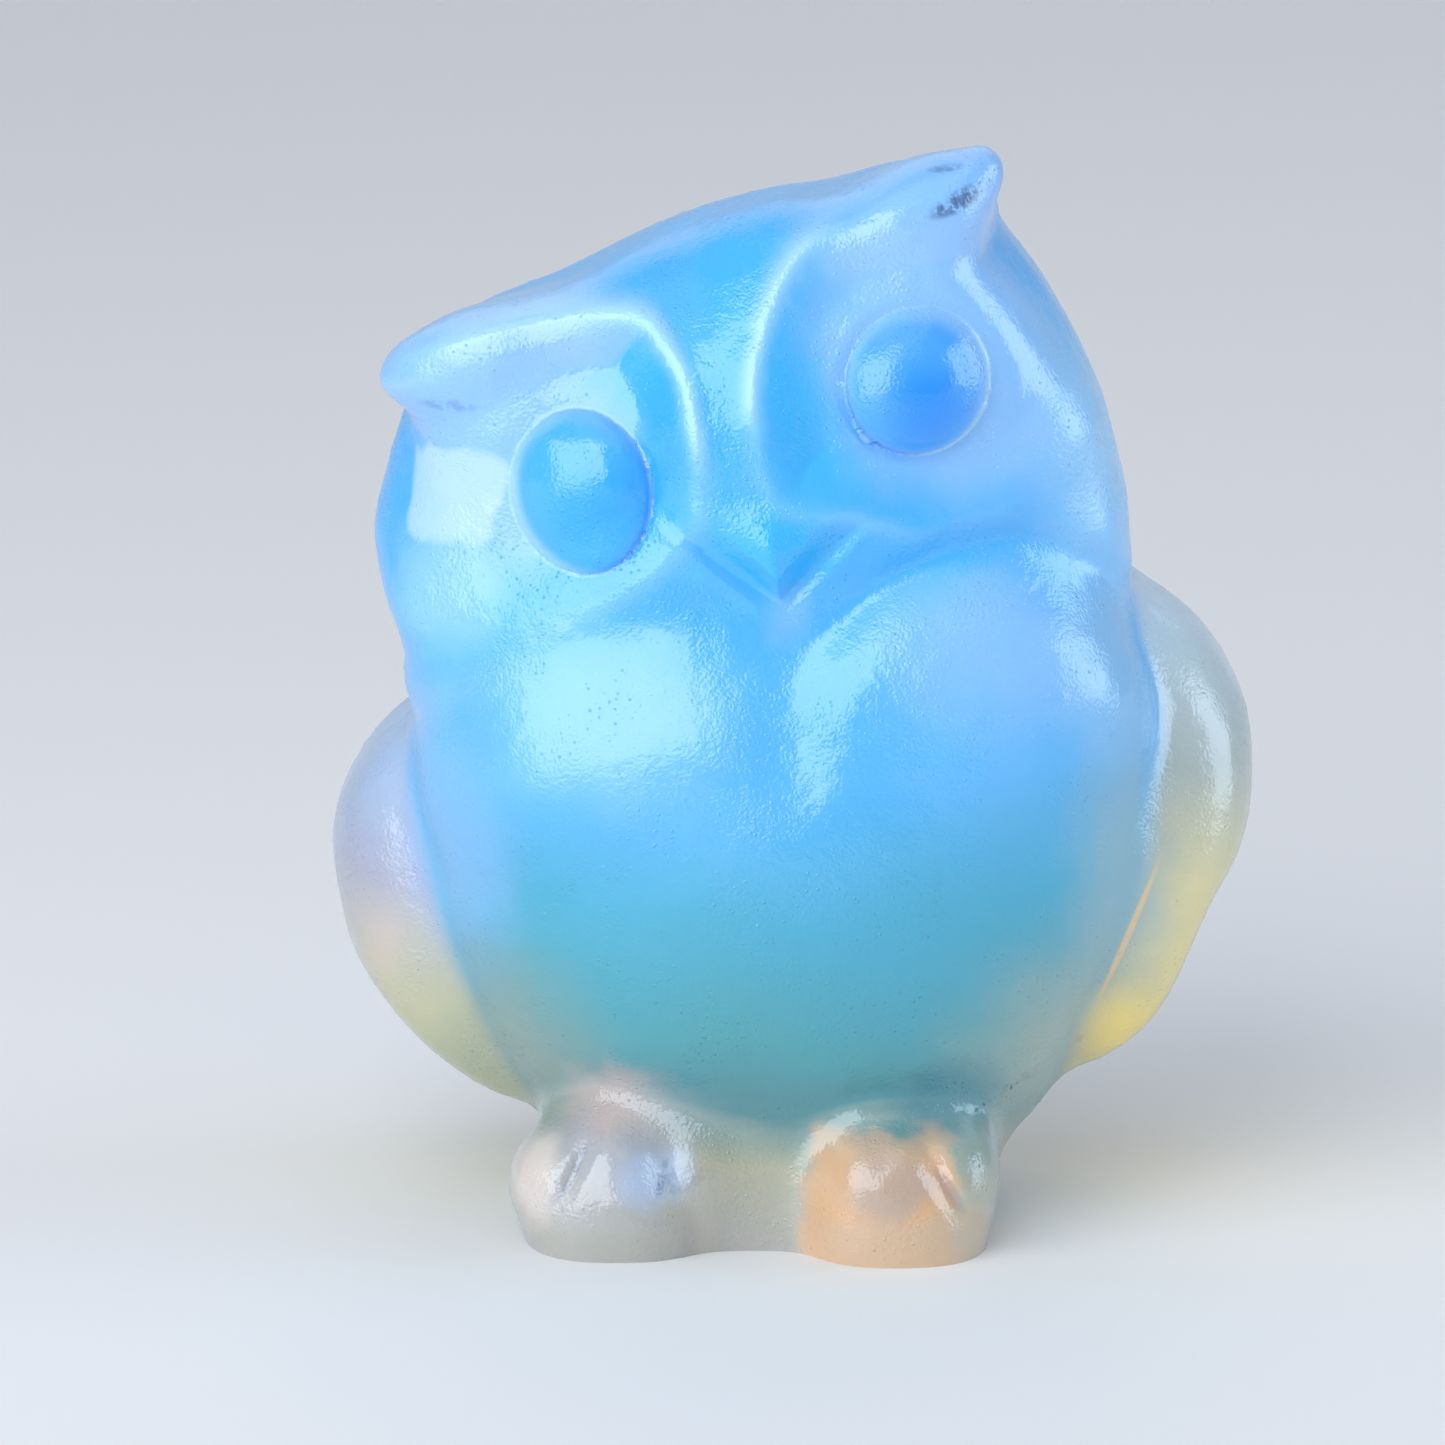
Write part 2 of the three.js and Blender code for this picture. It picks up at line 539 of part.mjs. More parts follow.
// Folds edges away, those that change the shape least first, until few enough triangles are left
function simplify({ points, triangles }, target) {
  const faces = [];
  for (let t = 0; t < triangles.length; t += 3) faces.push(triangles.slice(t, t + 3));
  const around = points.map(() => new Set());
  const quadrics = points.map(() => new Array(10).fill(0));
  faces.forEach((face, f) => {
    const normal = faceNormal(...face.map((v) => points[v]));
    const area = Math.hypot(...normal);
    const unit = normal.map((n) => n / area);
    const quadric = planeQuadric(unit, -dot(unit, points[face[0]]), area);
    for (const v of face) {
      around[v].add(f);
      quadric.forEach((term, i) => { quadrics[v][i] += term; });
    }
  });

  const version = new Int32Array(points.length);
  const heap = [];
  const swap = (i, j) => { [heap[i], heap[j]] = [heap[j], heap[i]]; };
  const push = (entry) => {
    let i = heap.push(entry) - 1;
    while (i > 0 && heap[i].cost < heap[(i - 1) >> 1].cost) {
      swap(i, (i - 1) >> 1);
      i = (i - 1) >> 1;
    }
  };
  const pop = () => {
    swap(0, heap.length - 1);
    const top = heap.pop();
    for (let i = 0; ;) {
      const [left, right] = [2 * i + 1, 2 * i + 2];
      let least = i;
      if (left < heap.length && heap[left].cost < heap[least].cost) least = left;
      if (right < heap.length && heap[right].cost < heap[least].cost) least = right;
      if (least === i) return top;
      swap(i, least);
      i = least;
    }
  };
  const neighbours = (v) => {
    const found = new Set();
    for (const f of around[v]) for (const w of faces[f]) if (w !== v) found.add(w);
    return found;
  };
  const offer = (a, b) => {
    const grounded = points[a][2] === 0;
    if (grounded !== (points[b][2] === 0)) return;
    const sum = quadrics[a].map((term, i) => term + quadrics[b][i]);
    const middle = points[a].map((c, axis) => (c + points[b][axis]) / 2);
    const length = Math.hypot(...points[a].map((c, axis) => c - points[b][axis]));
    const best = quadricPoint(sum);
    const near = best && Math.hypot(...best.map((c, axis) => c - middle[axis])) < length;
    const at = near ? best : middle;
    if (grounded) at[2] = 0;
    const cost = Math.max(quadricError(sum, at), 0) + 1e-4 * length ** 4;
    push({ cost, a, b, at, sum, stamp: version[a] + version[b] });
  };
  // Whether moving v to a point keeps each of its faces, apart from those shared with w, the right way round
  const keepsFaces = (v, w, at) => {
    for (const f of around[v]) {
      if (faces[f].includes(w)) continue;
      const before = faceNormal(...faces[f].map((u) => points[u]));
      const after = faceNormal(...faces[f].map((u) => (u === v ? at : points[u])));
      const size = Math.hypot(...before) * Math.hypot(...after);
      if (dot(before, after) < FLATTEST_TURN * size || size === 0) return false;
    }
    return true;
  };

  for (let v = 0; v < points.length; v++) for (const w of neighbours(v)) if (v < w) offer(v, w);
  let count = faces.length;
  while (count > target && heap.length) {
    const { a, b, at, sum, stamp } = pop();
    if (stamp !== version[a] + version[b] || !around[a].size || !around[b].size) continue;
    const shared = [...neighbours(a)].filter((v) => neighbours(b).has(v));
    if (shared.length !== 2 || !keepsFaces(a, b, at) || !keepsFaces(b, a, at)) continue;
    for (const f of [...around[b]]) {
      if (faces[f].includes(a)) {
        for (const v of faces[f]) around[v].delete(f);
        faces[f] = null;
        count -= 1;
      } else {
        faces[f] = faces[f].map((v) => (v === b ? a : v));
        around[a].add(f);
      }
    }
    around[b].clear();
    points[a] = at;
    quadrics[a] = sum;
    version[a] += 1;
    version[b] += 1e6;
    for (const v of neighbours(a)) offer(a, v);
  }

  const renumbered = new Map();
  const kept = faces.filter((face) => face);
  for (const v of kept.flat()) if (!renumbered.has(v)) renumbered.set(v, renumbered.size);
  return {
    points: [...renumbered.keys()].map((v) => points[v]),
    triangles: kept.flat().map((v) => renumbered.get(v)),
  };
}

// The sculpted form, moved so that the middle of its box is over the origin
function centredGeometry({ points, triangles }) {
  const geometry = new THREE.BufferGeometry();
  geometry.setAttribute('position', new THREE.Float32BufferAttribute(points.flat(), 3));
  geometry.setIndex(triangles);
  geometry.computeBoundingBox();
  const middle = geometry.boundingBox.getCenter(new THREE.Vector3());
  geometry.translate(-middle.x, -middle.y, 0);
  geometry.computeVertexNormals();
  return geometry;
}

const opal = new THREE.MeshStandardMaterial({ color: 0x8fcdf3, roughness: 0.18, metalness: 0 });

const owl = new THREE.Mesh(centredGeometry(simplify(meshStone(), TRIANGLES)), opal);
owl.name = 'owl';

const carving = new THREE.Group();
carving.name = 'opal_owl_carving';
carving.add(owl);

export default carving;
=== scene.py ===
"""An owl carved from one piece of milky opal glass, on a pale floor in soft studio light.

The owl is sculpted as a signed distance in millimetres, negative inside the stone: x is right, y is back,
z is up. The surface is meshed, made finer where it turns sharply, and brought to metres.
"""

import math

import bpy
import numpy as np
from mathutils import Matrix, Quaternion, Vector


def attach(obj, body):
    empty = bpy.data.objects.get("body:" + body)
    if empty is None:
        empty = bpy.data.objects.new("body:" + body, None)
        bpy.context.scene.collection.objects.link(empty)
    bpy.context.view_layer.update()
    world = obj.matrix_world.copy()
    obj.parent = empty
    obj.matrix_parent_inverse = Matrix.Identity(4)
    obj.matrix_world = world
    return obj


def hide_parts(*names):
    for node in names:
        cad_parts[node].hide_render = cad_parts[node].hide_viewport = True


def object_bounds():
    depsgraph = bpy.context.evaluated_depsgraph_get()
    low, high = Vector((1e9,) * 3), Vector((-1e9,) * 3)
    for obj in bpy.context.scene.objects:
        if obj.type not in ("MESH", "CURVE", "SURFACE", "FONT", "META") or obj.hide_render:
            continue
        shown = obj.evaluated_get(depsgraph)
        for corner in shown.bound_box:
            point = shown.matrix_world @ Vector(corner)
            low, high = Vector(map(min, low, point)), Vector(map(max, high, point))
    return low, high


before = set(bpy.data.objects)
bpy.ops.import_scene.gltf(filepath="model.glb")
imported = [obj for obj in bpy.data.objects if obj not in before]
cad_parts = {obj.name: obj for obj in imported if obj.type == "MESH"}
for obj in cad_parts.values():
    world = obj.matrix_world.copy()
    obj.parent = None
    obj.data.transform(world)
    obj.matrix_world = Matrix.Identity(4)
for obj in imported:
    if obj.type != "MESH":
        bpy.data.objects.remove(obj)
cad_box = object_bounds()

MM = 0.001

# The body: middle, half sizes, and how square each form is. Angles are in degrees
BELLY = dict(at=(0, -1, 13.4), half=(12.9, 10, 13.6), roll=4)
CHEST = [
    dict(at=(-5.0, -3.2, 16.8), half=(7.6, 6.7, 5.2), roll=12),
    dict(at=(5.4, -3.0, 18.6), half=(6.4, 6.7, 5.5), roll=-12),
]
SEAT = dict(at=(-0.7, 0.0, 1.5), half=(7.8, 8.8, 6), power=3)
TAIL = dict(at=(0, 6.6, 3.2), half=(4.2, 3.3, 7), pitch=12, power=2.2)
CHEST_BLEND = 1.8
SEAT_BLEND = 1.2
TAIL_BLEND = 1.6
# The line where the head rests on the chest, seen from the front: soft on the left and sharper on the right
NECKLINE = [
    (-19.0, 13.0), (-15.5, 16.5), (-13.0, 18.4), (-11.6, 19.5), (-8.2, 20.7), (-4.9, 21.2), (-1.6, 21.2),
    (-0.1, 21.0), (1.5, 22.0), (2.9, 23.0), (5.2, 24.0), (7.4, 24.25), (8.6, 23.9), (9.6, 23.4), (10.7, 22.5),
    (12.5, 20.0), (19.0, 11.0),
]
NECKLINE_LEFT = dict(deep=0.05, wide=1.1, swell=0.05)
NECKLINE_RIGHT = dict(deep=0.35, wide=0.7, swell=0.2)
CHEST_SWELL = dict(below=1.9, wide=1.6)
BREAST_VALLEY = dict(at=(-0.1, 18.3), lean=0, long=3, wide=1.5, deep=0.3)

# The head has a frame of its own, turned by its tilt: u runs across it and v up it
TILT = 18.9
HEAD_AT = (-1.4, -0.6, 27.4)
SKULL = dict(at=(0, HEAD_AT[1], -0.3), half=(13, 8.7, 7.7), power=2.8, depth_power=2.15)
NECK = dict(at=(-1.4, -0.4, 22.4), half=(13.9, 8.3, 7.6), roll=4, power=2.4, depth_power=2.1)
LEFT_BROW = [(-3.0, -3.8, 4.1, 2.9), (-7.4, -4.0, 4.45, 2.6), (-11.3, -3.6, 5.3, 1.6)]
RIGHT_BROW = [(3.0, -3.8, 4.1, 2.9), (7.2, -4.0, 4.6, 2.6), (10.6, -3.6, 5.75, 1.4)]
NECK_BLEND = 1.2
BROW_JOINT = 1.5
BROW_BLEND = 2
HEAD_BLEND = 0.9
LEFT_CHEST_BLEND = 2.2
TRIM_BLEND = 1.6
FACING = (0, 4.5)

# The head's outline from the front, with an ear tip at each end of the brow: x and z
HEAD_OUTLINE = [
    (-14.15, 29.3), (-14.05, 31.0), (-12.2, 32.05), (-8.2, 32.5), (-4.0, 35.3), (-1.0, 35.85), (1.4, 35.85),
    (4.2, 37.55), (6.2, 37.85), (7.1, 36.9), (7.05, 35.2), (7.2, 33.9), (8.65, 31.9), (10.2, 29.2),
    (11.4, 26.4), (11.7, 23.6), (11.6, 21.0), (9.5, 16.0), (0.0, 12.5), (-11.0, 14.0), (-13.45, 17.3),
    (-13.4, 19.6), (-14.2, 21.9), (-14.6, 23.9), (-14.1, 26.3), (-13.6, 27.9),
]

# The dished discs round the eyes, in the head's frame. Each is open towards its cheek
DISCS = [
    dict(
        side=-1,
        deep=1.0,
        wall=2.1,
        crest_low=0.6,
        crest_out=(7.5, 11.5),
        outline=[
            (-12.0, 6.0), (-9.3, 6.5), (-6.7, 6.6), (-4.8, 6.4), (-3.2, 6.0), (-2.1, 5.5), (-1.7, 4.7),
            (-1.4, 3.3), (-1.6, 1.6), (-1.9, 0.0), (-2.4, -1.2), (-3.3, -2.0), (-4.5, -2.6), (-6.4, -3.1),
            (-8.3, -3.3), (-10.2, -3.0), (-13.0, -2.2), (-17.0, 1.0), (-16.0, 4.5),
        ],
    ),
    dict(
        side=1,
        deep=0.85,
        wall=2.5,
        crest_low=1.2,
        crest_out=(3.2, 6.0),
        outline=[
            (10.9, 5.5), (8.6, 6.3), (6.4, 6.5), (5.0, 6.3), (3.6, 5.8), (2.4, 4.8), (1.4, 3.4), (0.8, 2.2),
            (0.5, 0.9), (0.2, -0.5), (0.5, -1.7), (1.4, -2.3), (2.5, -2.8), (3.4, -3.5), (4.8, -4.4),
            (7.2, -4.8), (9.9, -4.1), (13.0, -2.6), (17.0, 0.0), (15.0, 4.0),
        ],
    ),
]
LIP = dict(high=0.14, wide=0.36, out=0.1)
LIP_FOOT = dict(high=0.04, wide=0.9, out=0.3)
CREST_BELOW = 0.3

# Domed eyes, seen from the front: middle and half sizes in x and z. The groove round each is deepest
# towards one side, and crescents lie on its rim: the angle they are thickest at, thickness, tint and strength
# The light crescents are painted glints, and the shade crescent is painted shade
EYES = [
    dict(
        at=(-7.2, 26.1),
        half=(2.38, 2.72),
        sunk=0.03,
        cut=40,
        open=1.0,
        crescents=[(215, 0.24, "light", 0.85), (10, 0.05, "light", 0.5)],
    ),
    dict(
        at=(4.15, 29.85),
        half=(2.42, 2.42),
        sunk=0.06,
        cut=222,
        open=0.0,
        crescents=[(215, 0.05, "shade", 0.4), (-25, 0.08, "light", 0.95)],
    ),
]
EYE_DOME = 1.2
EYE_GROOVE = dict(wide=0.18, out=0.06)
EYELID = dict(high=0.05, starts=0.2, rises=0.4, ends=0.8, falls=0.8)

# The beak is a low pyramid between two grooves that meet at its tip: x and z
BEAK = dict(left=(-3.75, 25.05), right=(2.05, 25.25), tip=(-0.45, 22.4), ridge=(-1.15, 26.4))
BEAK_HIGH = 0.9
BEAK_GROOVE = dict(deep=0.09, wide=0.28, out=0.05)
BEAK_LIP = dict(high=0.06, wide=0.22, out=0.5)

# Folded wings: outline from the front, and a rounded block that the outline trims
WINGS = [
    dict(
        block=dict(at=(-10.1, 2.6, 10.4), half=(6.7, 6.9, 9.4), roll=6, pitch=-7, power=2.2),
        outline=[
            (-12.9, 16.6), (-15.0, 14.8), (-16.1, 12.6), (-15.85, 10.3), (-15.15, 8.3), (-13.25, 6.0),
            (-11.15, 4.3), (-9.4, 3.5), (-6.5, 3.9), (-4.2, 8.0), (-4.8, 14.0), (-9.5, 18.4),
        ],
    ),
    dict(
        block=dict(at=(10.3, 2.2, 12.8), half=(6.8, 6.9, 10.0), roll=-3, pitch=-14, power=2.2),
        outline=[
            (11.2, 21.3), (12.7, 20.5), (14.55, 19.0), (15.85, 16.8), (16.05, 14.4), (15.6, 12.4),
            (14.35, 10.4), (12.85, 7.2), (11.3, 5.5), (9.6, 4.7), (6.5, 4.4), (4.4, 9.0), (4.8, 16.0),
            (7.5, 21.0),
        ],
    ),
]
WING_BLEND = 0.8
# The flank is hollowed in front of the right wing's tip
FLANK_HOLLOW = dict(at=(10.3, 6.4), lean=27, long=3.2, wide=1.4, deep=0.6)

# Feet: a low pad with toes on it, and the hollows beside the toes, seen from the front
FEET = [
    dict(at=(-6.0, -6.3, 0.9), half=(3.2, 4.1, 3.6), power=2.5),
    dict(at=(-7.9, -6.9, 2.0), half=(1.8, 2.6, 1.8)),
    dict(at=(-6.3, -7.2, 3.1), half=(1.2, 2.4, 1.4), roll=-6),
    dict(at=(-3.6, -6.3, 2.5), half=(1.2, 2.6, 1.9)),
    dict(at=(3.5, -7.0, 1.0), half=(3.2, 4.1, 3.7), power=2.5),
    dict(at=(2.9, -8.4, 2.8), half=(1.6, 2.3, 1.4)),
    dict(at=(5.6, -7.4, 2.4), half=(1.4, 2.6, 1.9), roll=-8),
]
TOE_GAPS = [
    dict(at=(-7.4, 3.0), lean=27, long=1.4, wide=0.3, deep=0.25),
    dict(at=(-4.4, 2.7), lean=15, long=1.0, wide=0.8, deep=0.35),
    dict(at=(2.9, 3.8), lean=0, long=0.6, wide=0.4, deep=0.12),
    dict(at=(4.95, 2.8), lean=-30, long=1.3, wide=0.4, deep=0.28),
]
TOE_BLEND = 0.9
FOOT_BLEND = 1.4

# The mesh
ACROSS = (-17, 17)
DEEP = (-13, 12)
UP = (0, 38.5)
CELL = 0.4
BELOW_BASE = -1
OUTLINE_STEPS = 8
MAP_CELL = 0.1
SLOPE_REACH = 0.12
FLATTEST_SLOPE = 0.15
CELL_MARGIN = 0.05
SHARPEST_TURN = 9.0
SHORTEST_EDGE = 0.14
REFINING_ROUNDS = 3
MOST_TRIANGLES = 190000


def smooth_min(a, b, blend):
    near = np.maximum(blend - np.abs(a - b), 0) / blend
    return np.minimum(a, b) - near * near * blend / 4


def smooth_max(a, b, blend):
    return -smooth_min(-a, -b, blend)


def smooth_step(value, low, high):
    t = np.clip((value - low) / (high - low), 0, 1)
    return t * t * (3 - 2 * t)


def bell(offset, width):
    return np.exp(-((offset / width) ** 2))


def turn(a, b, degrees):
    """Coordinates of a point in axes turned by an angle."""
    c = math.cos(math.radians(degrees))
    s = math.sin(math.radians(degrees))
    return a * c + b * s, b * c - a * s


def block(x, y, z, at, half, roll=0, pitch=0, power=2, depth_power=None):
    """Distance to a rounded block. Power 2 makes an ellipsoid, and more makes it squarer."""
    deep = depth_power or power
    py, pz = turn(y - at[1], z - at[2], pitch)
    qx, qz = turn(x - at[0], pz, roll)
    ax = np.abs(qx) / half[0]
    ay = np.abs(py) / half[1]
    az = np.abs(qz) / half[2]
    flat = ax**power + az**power + 1e-9
    total = flat ** (deep / power) + ay**deep
    size = total ** (1 / deep)
    outer = size / total
    inner = flat ** (deep / power - 1)
    slope_x = outer * inner * ax ** (power - 1) / half[0]
    slope_y = outer * ay ** (deep - 1) / half[1]
    slope_z = outer * inner * az ** (power - 1) / half[2]
    slope = np.sqrt(slope_x**2 + slope_y**2 + slope_z**2)
    return (size - 1) / np.maximum(slope, 1e-6)


def rod(x, y, z, start, end):
    """Distance to a rod between two points that each have a radius of their own."""
    ax, ay, az, start_radius = start
    dx, dy, dz = (end[i] - start[i] for i in range(3))
    along = ((x - ax) * dx + (y - ay) * dy + (z - az) * dz) / (dx * dx + dy * dy + dz * dz)
    t = np.clip(along, 0, 1)
    away = np.sqrt((x - ax - t * dx) ** 2 + (y - ay - t * dy) ** 2 + (z - az - t * dz) ** 2)
    return away - (start_radius + (end[3] - start_radius) * t)


def smooth_outline(points):
    """Closed smooth outline through the given points."""
    p = np.array(points, float)
    before, after, beyond = np.roll(p, 1, 0), np.roll(p, -1, 0), np.roll(p, -2, 0)
    ring = []
    for step in range(OUTLINE_STEPS):
        t = step / OUTLINE_STEPS
        straight = 2 * p + (after - before) * t
        bend = (2 * before - 5 * p + 4 * after - beyond) * t**2 + (3 * p - before - 3 * after + beyond) * t**3
        ring.append((straight + bend) / 2)
    return np.stack(ring, 1).reshape(-1, 2)


def line_distance(a, b, points):
    """Distance in a plane to an open smooth line, negative below it."""
    path = smooth_outline(points)[: (len(points) - 1) * OUTLINE_STEPS + 1]
    nearest = np.full(a.shape, np.inf)
    above = np.zeros(a.shape)
    for (pa, pb), (qa, qb) in zip(path, path[1:]):
        da, db = qa - pa, qb - pb
        t = np.clip(((a - pa) * da + (b - pb) * db) / (da * da + db * db), 0, 1)
        away = (a - pa - t * da) ** 2 + (b - pb - t * db) ** 2
        closer = away < nearest
        nearest = np.where(closer, away, nearest)
        above = np.where(closer, (b - pb) * da - (a - pa) * db, above)
    return np.sign(above) * np.sqrt(nearest)


def outline_distance(a, b, outline):
    """Distance in a plane to a closed outline, negative inside it."""
    ring = smooth_outline(outline)
    nearest = np.full(a.shape, np.inf)
    inside = np.zeros(a.shape, bool)
    for (pa, pb), (qa, qb) in zip(np.roll(ring, 1, 0), ring):
        da, db = qa - pa, qb - pb
        t = np.clip(((a - pa) * da + (b - pb) * db) / (da * da + db * db), 0, 1)
        nearest = np.minimum(nearest, (a - pa - t * da) ** 2 + (b - pb - t * db) ** 2)
        if db:
            inside ^= ((pb > b) != (qb > b)) & (a < pa + (b - pb) * da / db)
    return np.where(inside, -1, 1) * np.sqrt(nearest)


class FrontMap:
    """A value that depends on x and z alone, worked out once on a fine grid and read back smoothly."""

    def __init__(self, function):
        self.start = (ACROSS[0] - 1, UP[0] - 2)
        xs = np.arange(self.start[0], ACROSS[1] + 1, MAP_CELL)
        zs = np.arange(self.start[1], UP[1] + 1, MAP_CELL)
        self.values = function(*np.meshgrid(xs, zs, indexing="ij"))

    @staticmethod
    def weights(t):
        return (
            ((2 - t) * t - 1) * t / 2,
            ((3 * t - 5) * t * t + 2) / 2,
            ((4 - 3 * t) * t + 1) * t / 2,
            (t - 1) * t * t / 2,
        )

    def __call__(self, x, z):
        a = (x - self.start[0]) / MAP_CELL
        b = (z - self.start[1]) / MAP_CELL
        i = np.clip(np.floor(a).astype(int), 1, self.values.shape[0] - 3)
        j = np.clip(np.floor(b).astype(int), 1, self.values.shape[1] - 3)
        total = 0.0
        across = self.weights(np.clip(a - i, 0, 1))
        along = self.weights(np.clip(b - j, 0, 1))
        for p in range(4):
            for q in range(4):
                total = total + across[p] * along[q] * self.values[i + p - 1, j + q - 1]
        return total


neckline = FrontMap(lambda x, z: line_distance(x, z, NECKLINE))


def head_axes(x, z):
    return turn(x - HEAD_AT[0], z - HEAD_AT[2], TILT)


def disc_map(outline):
    return FrontMap(lambda x, z: outline_distance(*head_axes(x, z), outline))


head_trim = FrontMap(lambda x, z: outline_distance(x, z, HEAD_OUTLINE))
disc_trims = [disc_map(disc["outline"]) for disc in DISCS]
wing_trims = [FrontMap(lambda x, z, wing=wing: outline_distance(x, z, wing["outline"])) for wing in WINGS]


def side_of(x, z, start, end):
    """Distance from a line through two points, positive on its left."""
    dx, dz = end[0] - start[0], end[1] - start[1]
    return ((z - start[1]) * dx - (x - start[0]) * dz) / math.hypot(dx, dz)


def dent(x, z, at, lean, long, wide, deep):
    """Depth of a spindle-shaped hollow."""
    across, along = turn(x - at[0], z - at[1], -lean)
    return deep * np.exp(-((along / long) ** 2) - (across / wide) ** 2)


def eye_relief(x, z):
    high = 0.0
    for eye in EYES:
        (ex, ez), (half_x, half_z) = eye["at"], eye["half"]
        q = np.hypot((x - ex) / half_x, (z - ez) / half_z)
        out = (q - 1) * half_x
        high = high + EYE_DOME * np.maximum(1 - q * q, 0) ** 0.6
        sunk = eye["sunk"] * (1 + 0.8 * np.cos(np.arctan2(z - ez, x - ex) - math.radians(eye["cut"])))
        high = high - sunk * bell(out - EYE_GROOVE["out"], EYE_GROOVE["wide"])
        rise = smooth_step(out, EYELID["starts"], EYELID["starts"] + EYELID["rises"])
        fall = smooth_step(out, EYELID["ends"], EYELID["ends"] + EYELID["falls"])
        lid = 1 - eye["open"] * smooth_step((x - ex) / half_x, -0.3, 0.5)
        high = high + EYELID["high"] * lid * rise * (1 - fall)
    return high


def crest_fade(disc, u, v):
    """A disc's crest is sharp along the brow and the bridge, and soft below the eye and towards the cheek."""
    low = disc["crest_low"]
    sharp = CREST_BELOW + (1 - CREST_BELOW) * smooth_step(v, low - 1, low + 1)
    return sharp * (1 - smooth_step(disc["side"] * u, *disc["crest_out"]))


def disc_relief(x, z):
    u, v = head_axes(x, z)
    high = 0.0
    for disc, trim in zip(DISCS, disc_trims):
        d = trim(x, z)
        out = disc["side"] * u
        wall = disc["wall"] + (2.8 - disc["wall"]) * smooth_step(out, 2.6, 7.6)
        lip = sum(edge["high"] * bell(d - edge["out"], edge["wide"]) for edge in (LIP, LIP_FOOT))
        dish = disc["deep"] * smooth_step(-d, 0, wall) * (1 - 0.45 * smooth_step(out, 7, 12))
        high = high + lip * crest_fade(disc, u, v) - dish
    return high


def crest_share(x, y, z):
    """How much a point is on the crest line of a disc, which fades towards the cheek. The crest is painted paler,
    partly as a painted highlight.
    """
    u, v = head_axes(x, z)
    share = sum(
        bell(trim(x, z) - LIP["out"], CREST_WIDE) * crest_fade(disc, u, v)
        for disc, trim in zip(DISCS, disc_trims)
    )
    return share * smooth_step(-y, *FACING)


def beak_relief(x, z):
    left, right, tip, ridge = (BEAK[corner] for corner in ("left", "right", "tip", "ridge"))
    inside = np.minimum(side_of(x, z, left, tip), side_of(x, z, tip, right))
    within = np.maximum(inside, 0)
    ridge_x = ridge[0] + (tip[0] - ridge[0]) * (ridge[1] - z) / (ridge[1] - tip[1])
    share = within / (within + 0.75 * np.hypot(x - ridge_x, 0.25))
    roof = BEAK_HIGH * share * smooth_step(within, 0, 0.9) * (1 - smooth_step(z, 24.2, 26.6))
    groove = BEAK_LIP["high"] * bell(inside + BEAK_LIP["out"], BEAK_LIP["wide"])
    groove = groove - BEAK_GROOVE["deep"] * bell(inside + BEAK_GROOVE["out"], BEAK_GROOVE["wide"])
    return roof + groove * (1 - smooth_step(z, 24.7, 25.5)) * smooth_step(z, 21.8, 23.2)


def neck_relief(x, z):
    d = neckline(x, z)
    right = smooth_step(x, -2, 3)
    deep, wide, swell = (
        NECKLINE_LEFT[size] * (1 - right) + NECKLINE_RIGHT[size] * right for size in ("deep", "wide", "swell")
    )
    return swell * bell(d + CHEST_SWELL["below"], CHEST_SWELL["wide"]) - deep * bell(d, wide)


def body_distance(x, y, z):
    body = block(x, y, z, **BELLY)
    for lobe in CHEST:
        body = smooth_min(body, block(x, y, z, **lobe), CHEST_BLEND)
    body = smooth_min(body, block(x, y, z, **SEAT), SEAT_BLEND)
    return smooth_min(body, block(x, y, z, **TAIL), TAIL_BLEND)


def head_distance(x, y, z):
    u, v = head_axes(x, z)
    head = block(u, y, v, **SKULL)
    head = smooth_min(head, block(x, y, z, **NECK), NECK_BLEND)
    for inner, middle, outer in (LEFT_BROW, RIGHT_BROW):
        brow = smooth_min(rod(u, y, v, inner, middle), rod(u, y, v, middle, outer), BROW_JOINT)
        head = smooth_min(head, brow, BROW_BLEND)
    head = smooth_max(head, head_trim(x, z), TRIM_BLEND)
    return head - (disc_relief(x, z) + eye_relief(x, z)) * smooth_step(-y, *FACING)


def wing_distance(x, y, z, wing, trim):
    return smooth_max(block(x, y, z, **wing["block"]), trim(x, z), TRIM_BLEND)


def wings_distance(x, y, z):
    left, right = (wing_distance(x, y, z, wing, trim) for wing, trim in zip(WINGS, wing_trims))
    return np.minimum(left, right)


def trunk_distance(x, y, z):
    """The stone without its wings."""
    left_chest = smooth_step(-y, 3, 6) * (1 - smooth_step(x, -5, 0))
    blend = HEAD_BLEND + (LEFT_CHEST_BLEND - HEAD_BLEND) * left_chest
    stone = smooth_min(body_distance(x, y, z), head_distance(x, y, z), blend)
    front = dent(x, z, **BREAST_VALLEY) - beak_relief(x, z) - neck_relief(x, z)
    stone = stone + front * smooth_step(-y, 1, 5) + dent(x, z, **FLANK_HOLLOW)
    feet = block(x, y, z, **FEET[0])
    for lump in FEET[1:]:
        feet = smooth_min(feet, block(x, y, z, **lump), TOE_BLEND)
    stone = smooth_min(stone, feet, FOOT_BLEND)
    toes = sum(dent(x, z, **gap) for gap in TOE_GAPS)
    return stone + np.where((y < -6) & (z < 6), toes, 0)


def owl_distance(x, y, z):
    stone = trunk_distance(x, y, z)
    for wing, trim in zip(WINGS, wing_trims):
        stone = smooth_min(stone, wing_distance(x, y, z, wing, trim), WING_BLEND)
    return stone


def slopes(points, reach):
    """Slope of the distance at each point, over a reach to either side."""
    found = np.empty_like(points)
    for axis in range(3):
        step = np.zeros(3)
        step[axis] = reach
        beyond, before = points + step, points - step
        found[:, axis] = (owl_distance(*beyond.T) - owl_distance(*before.T)) / (2 * reach)
    return found


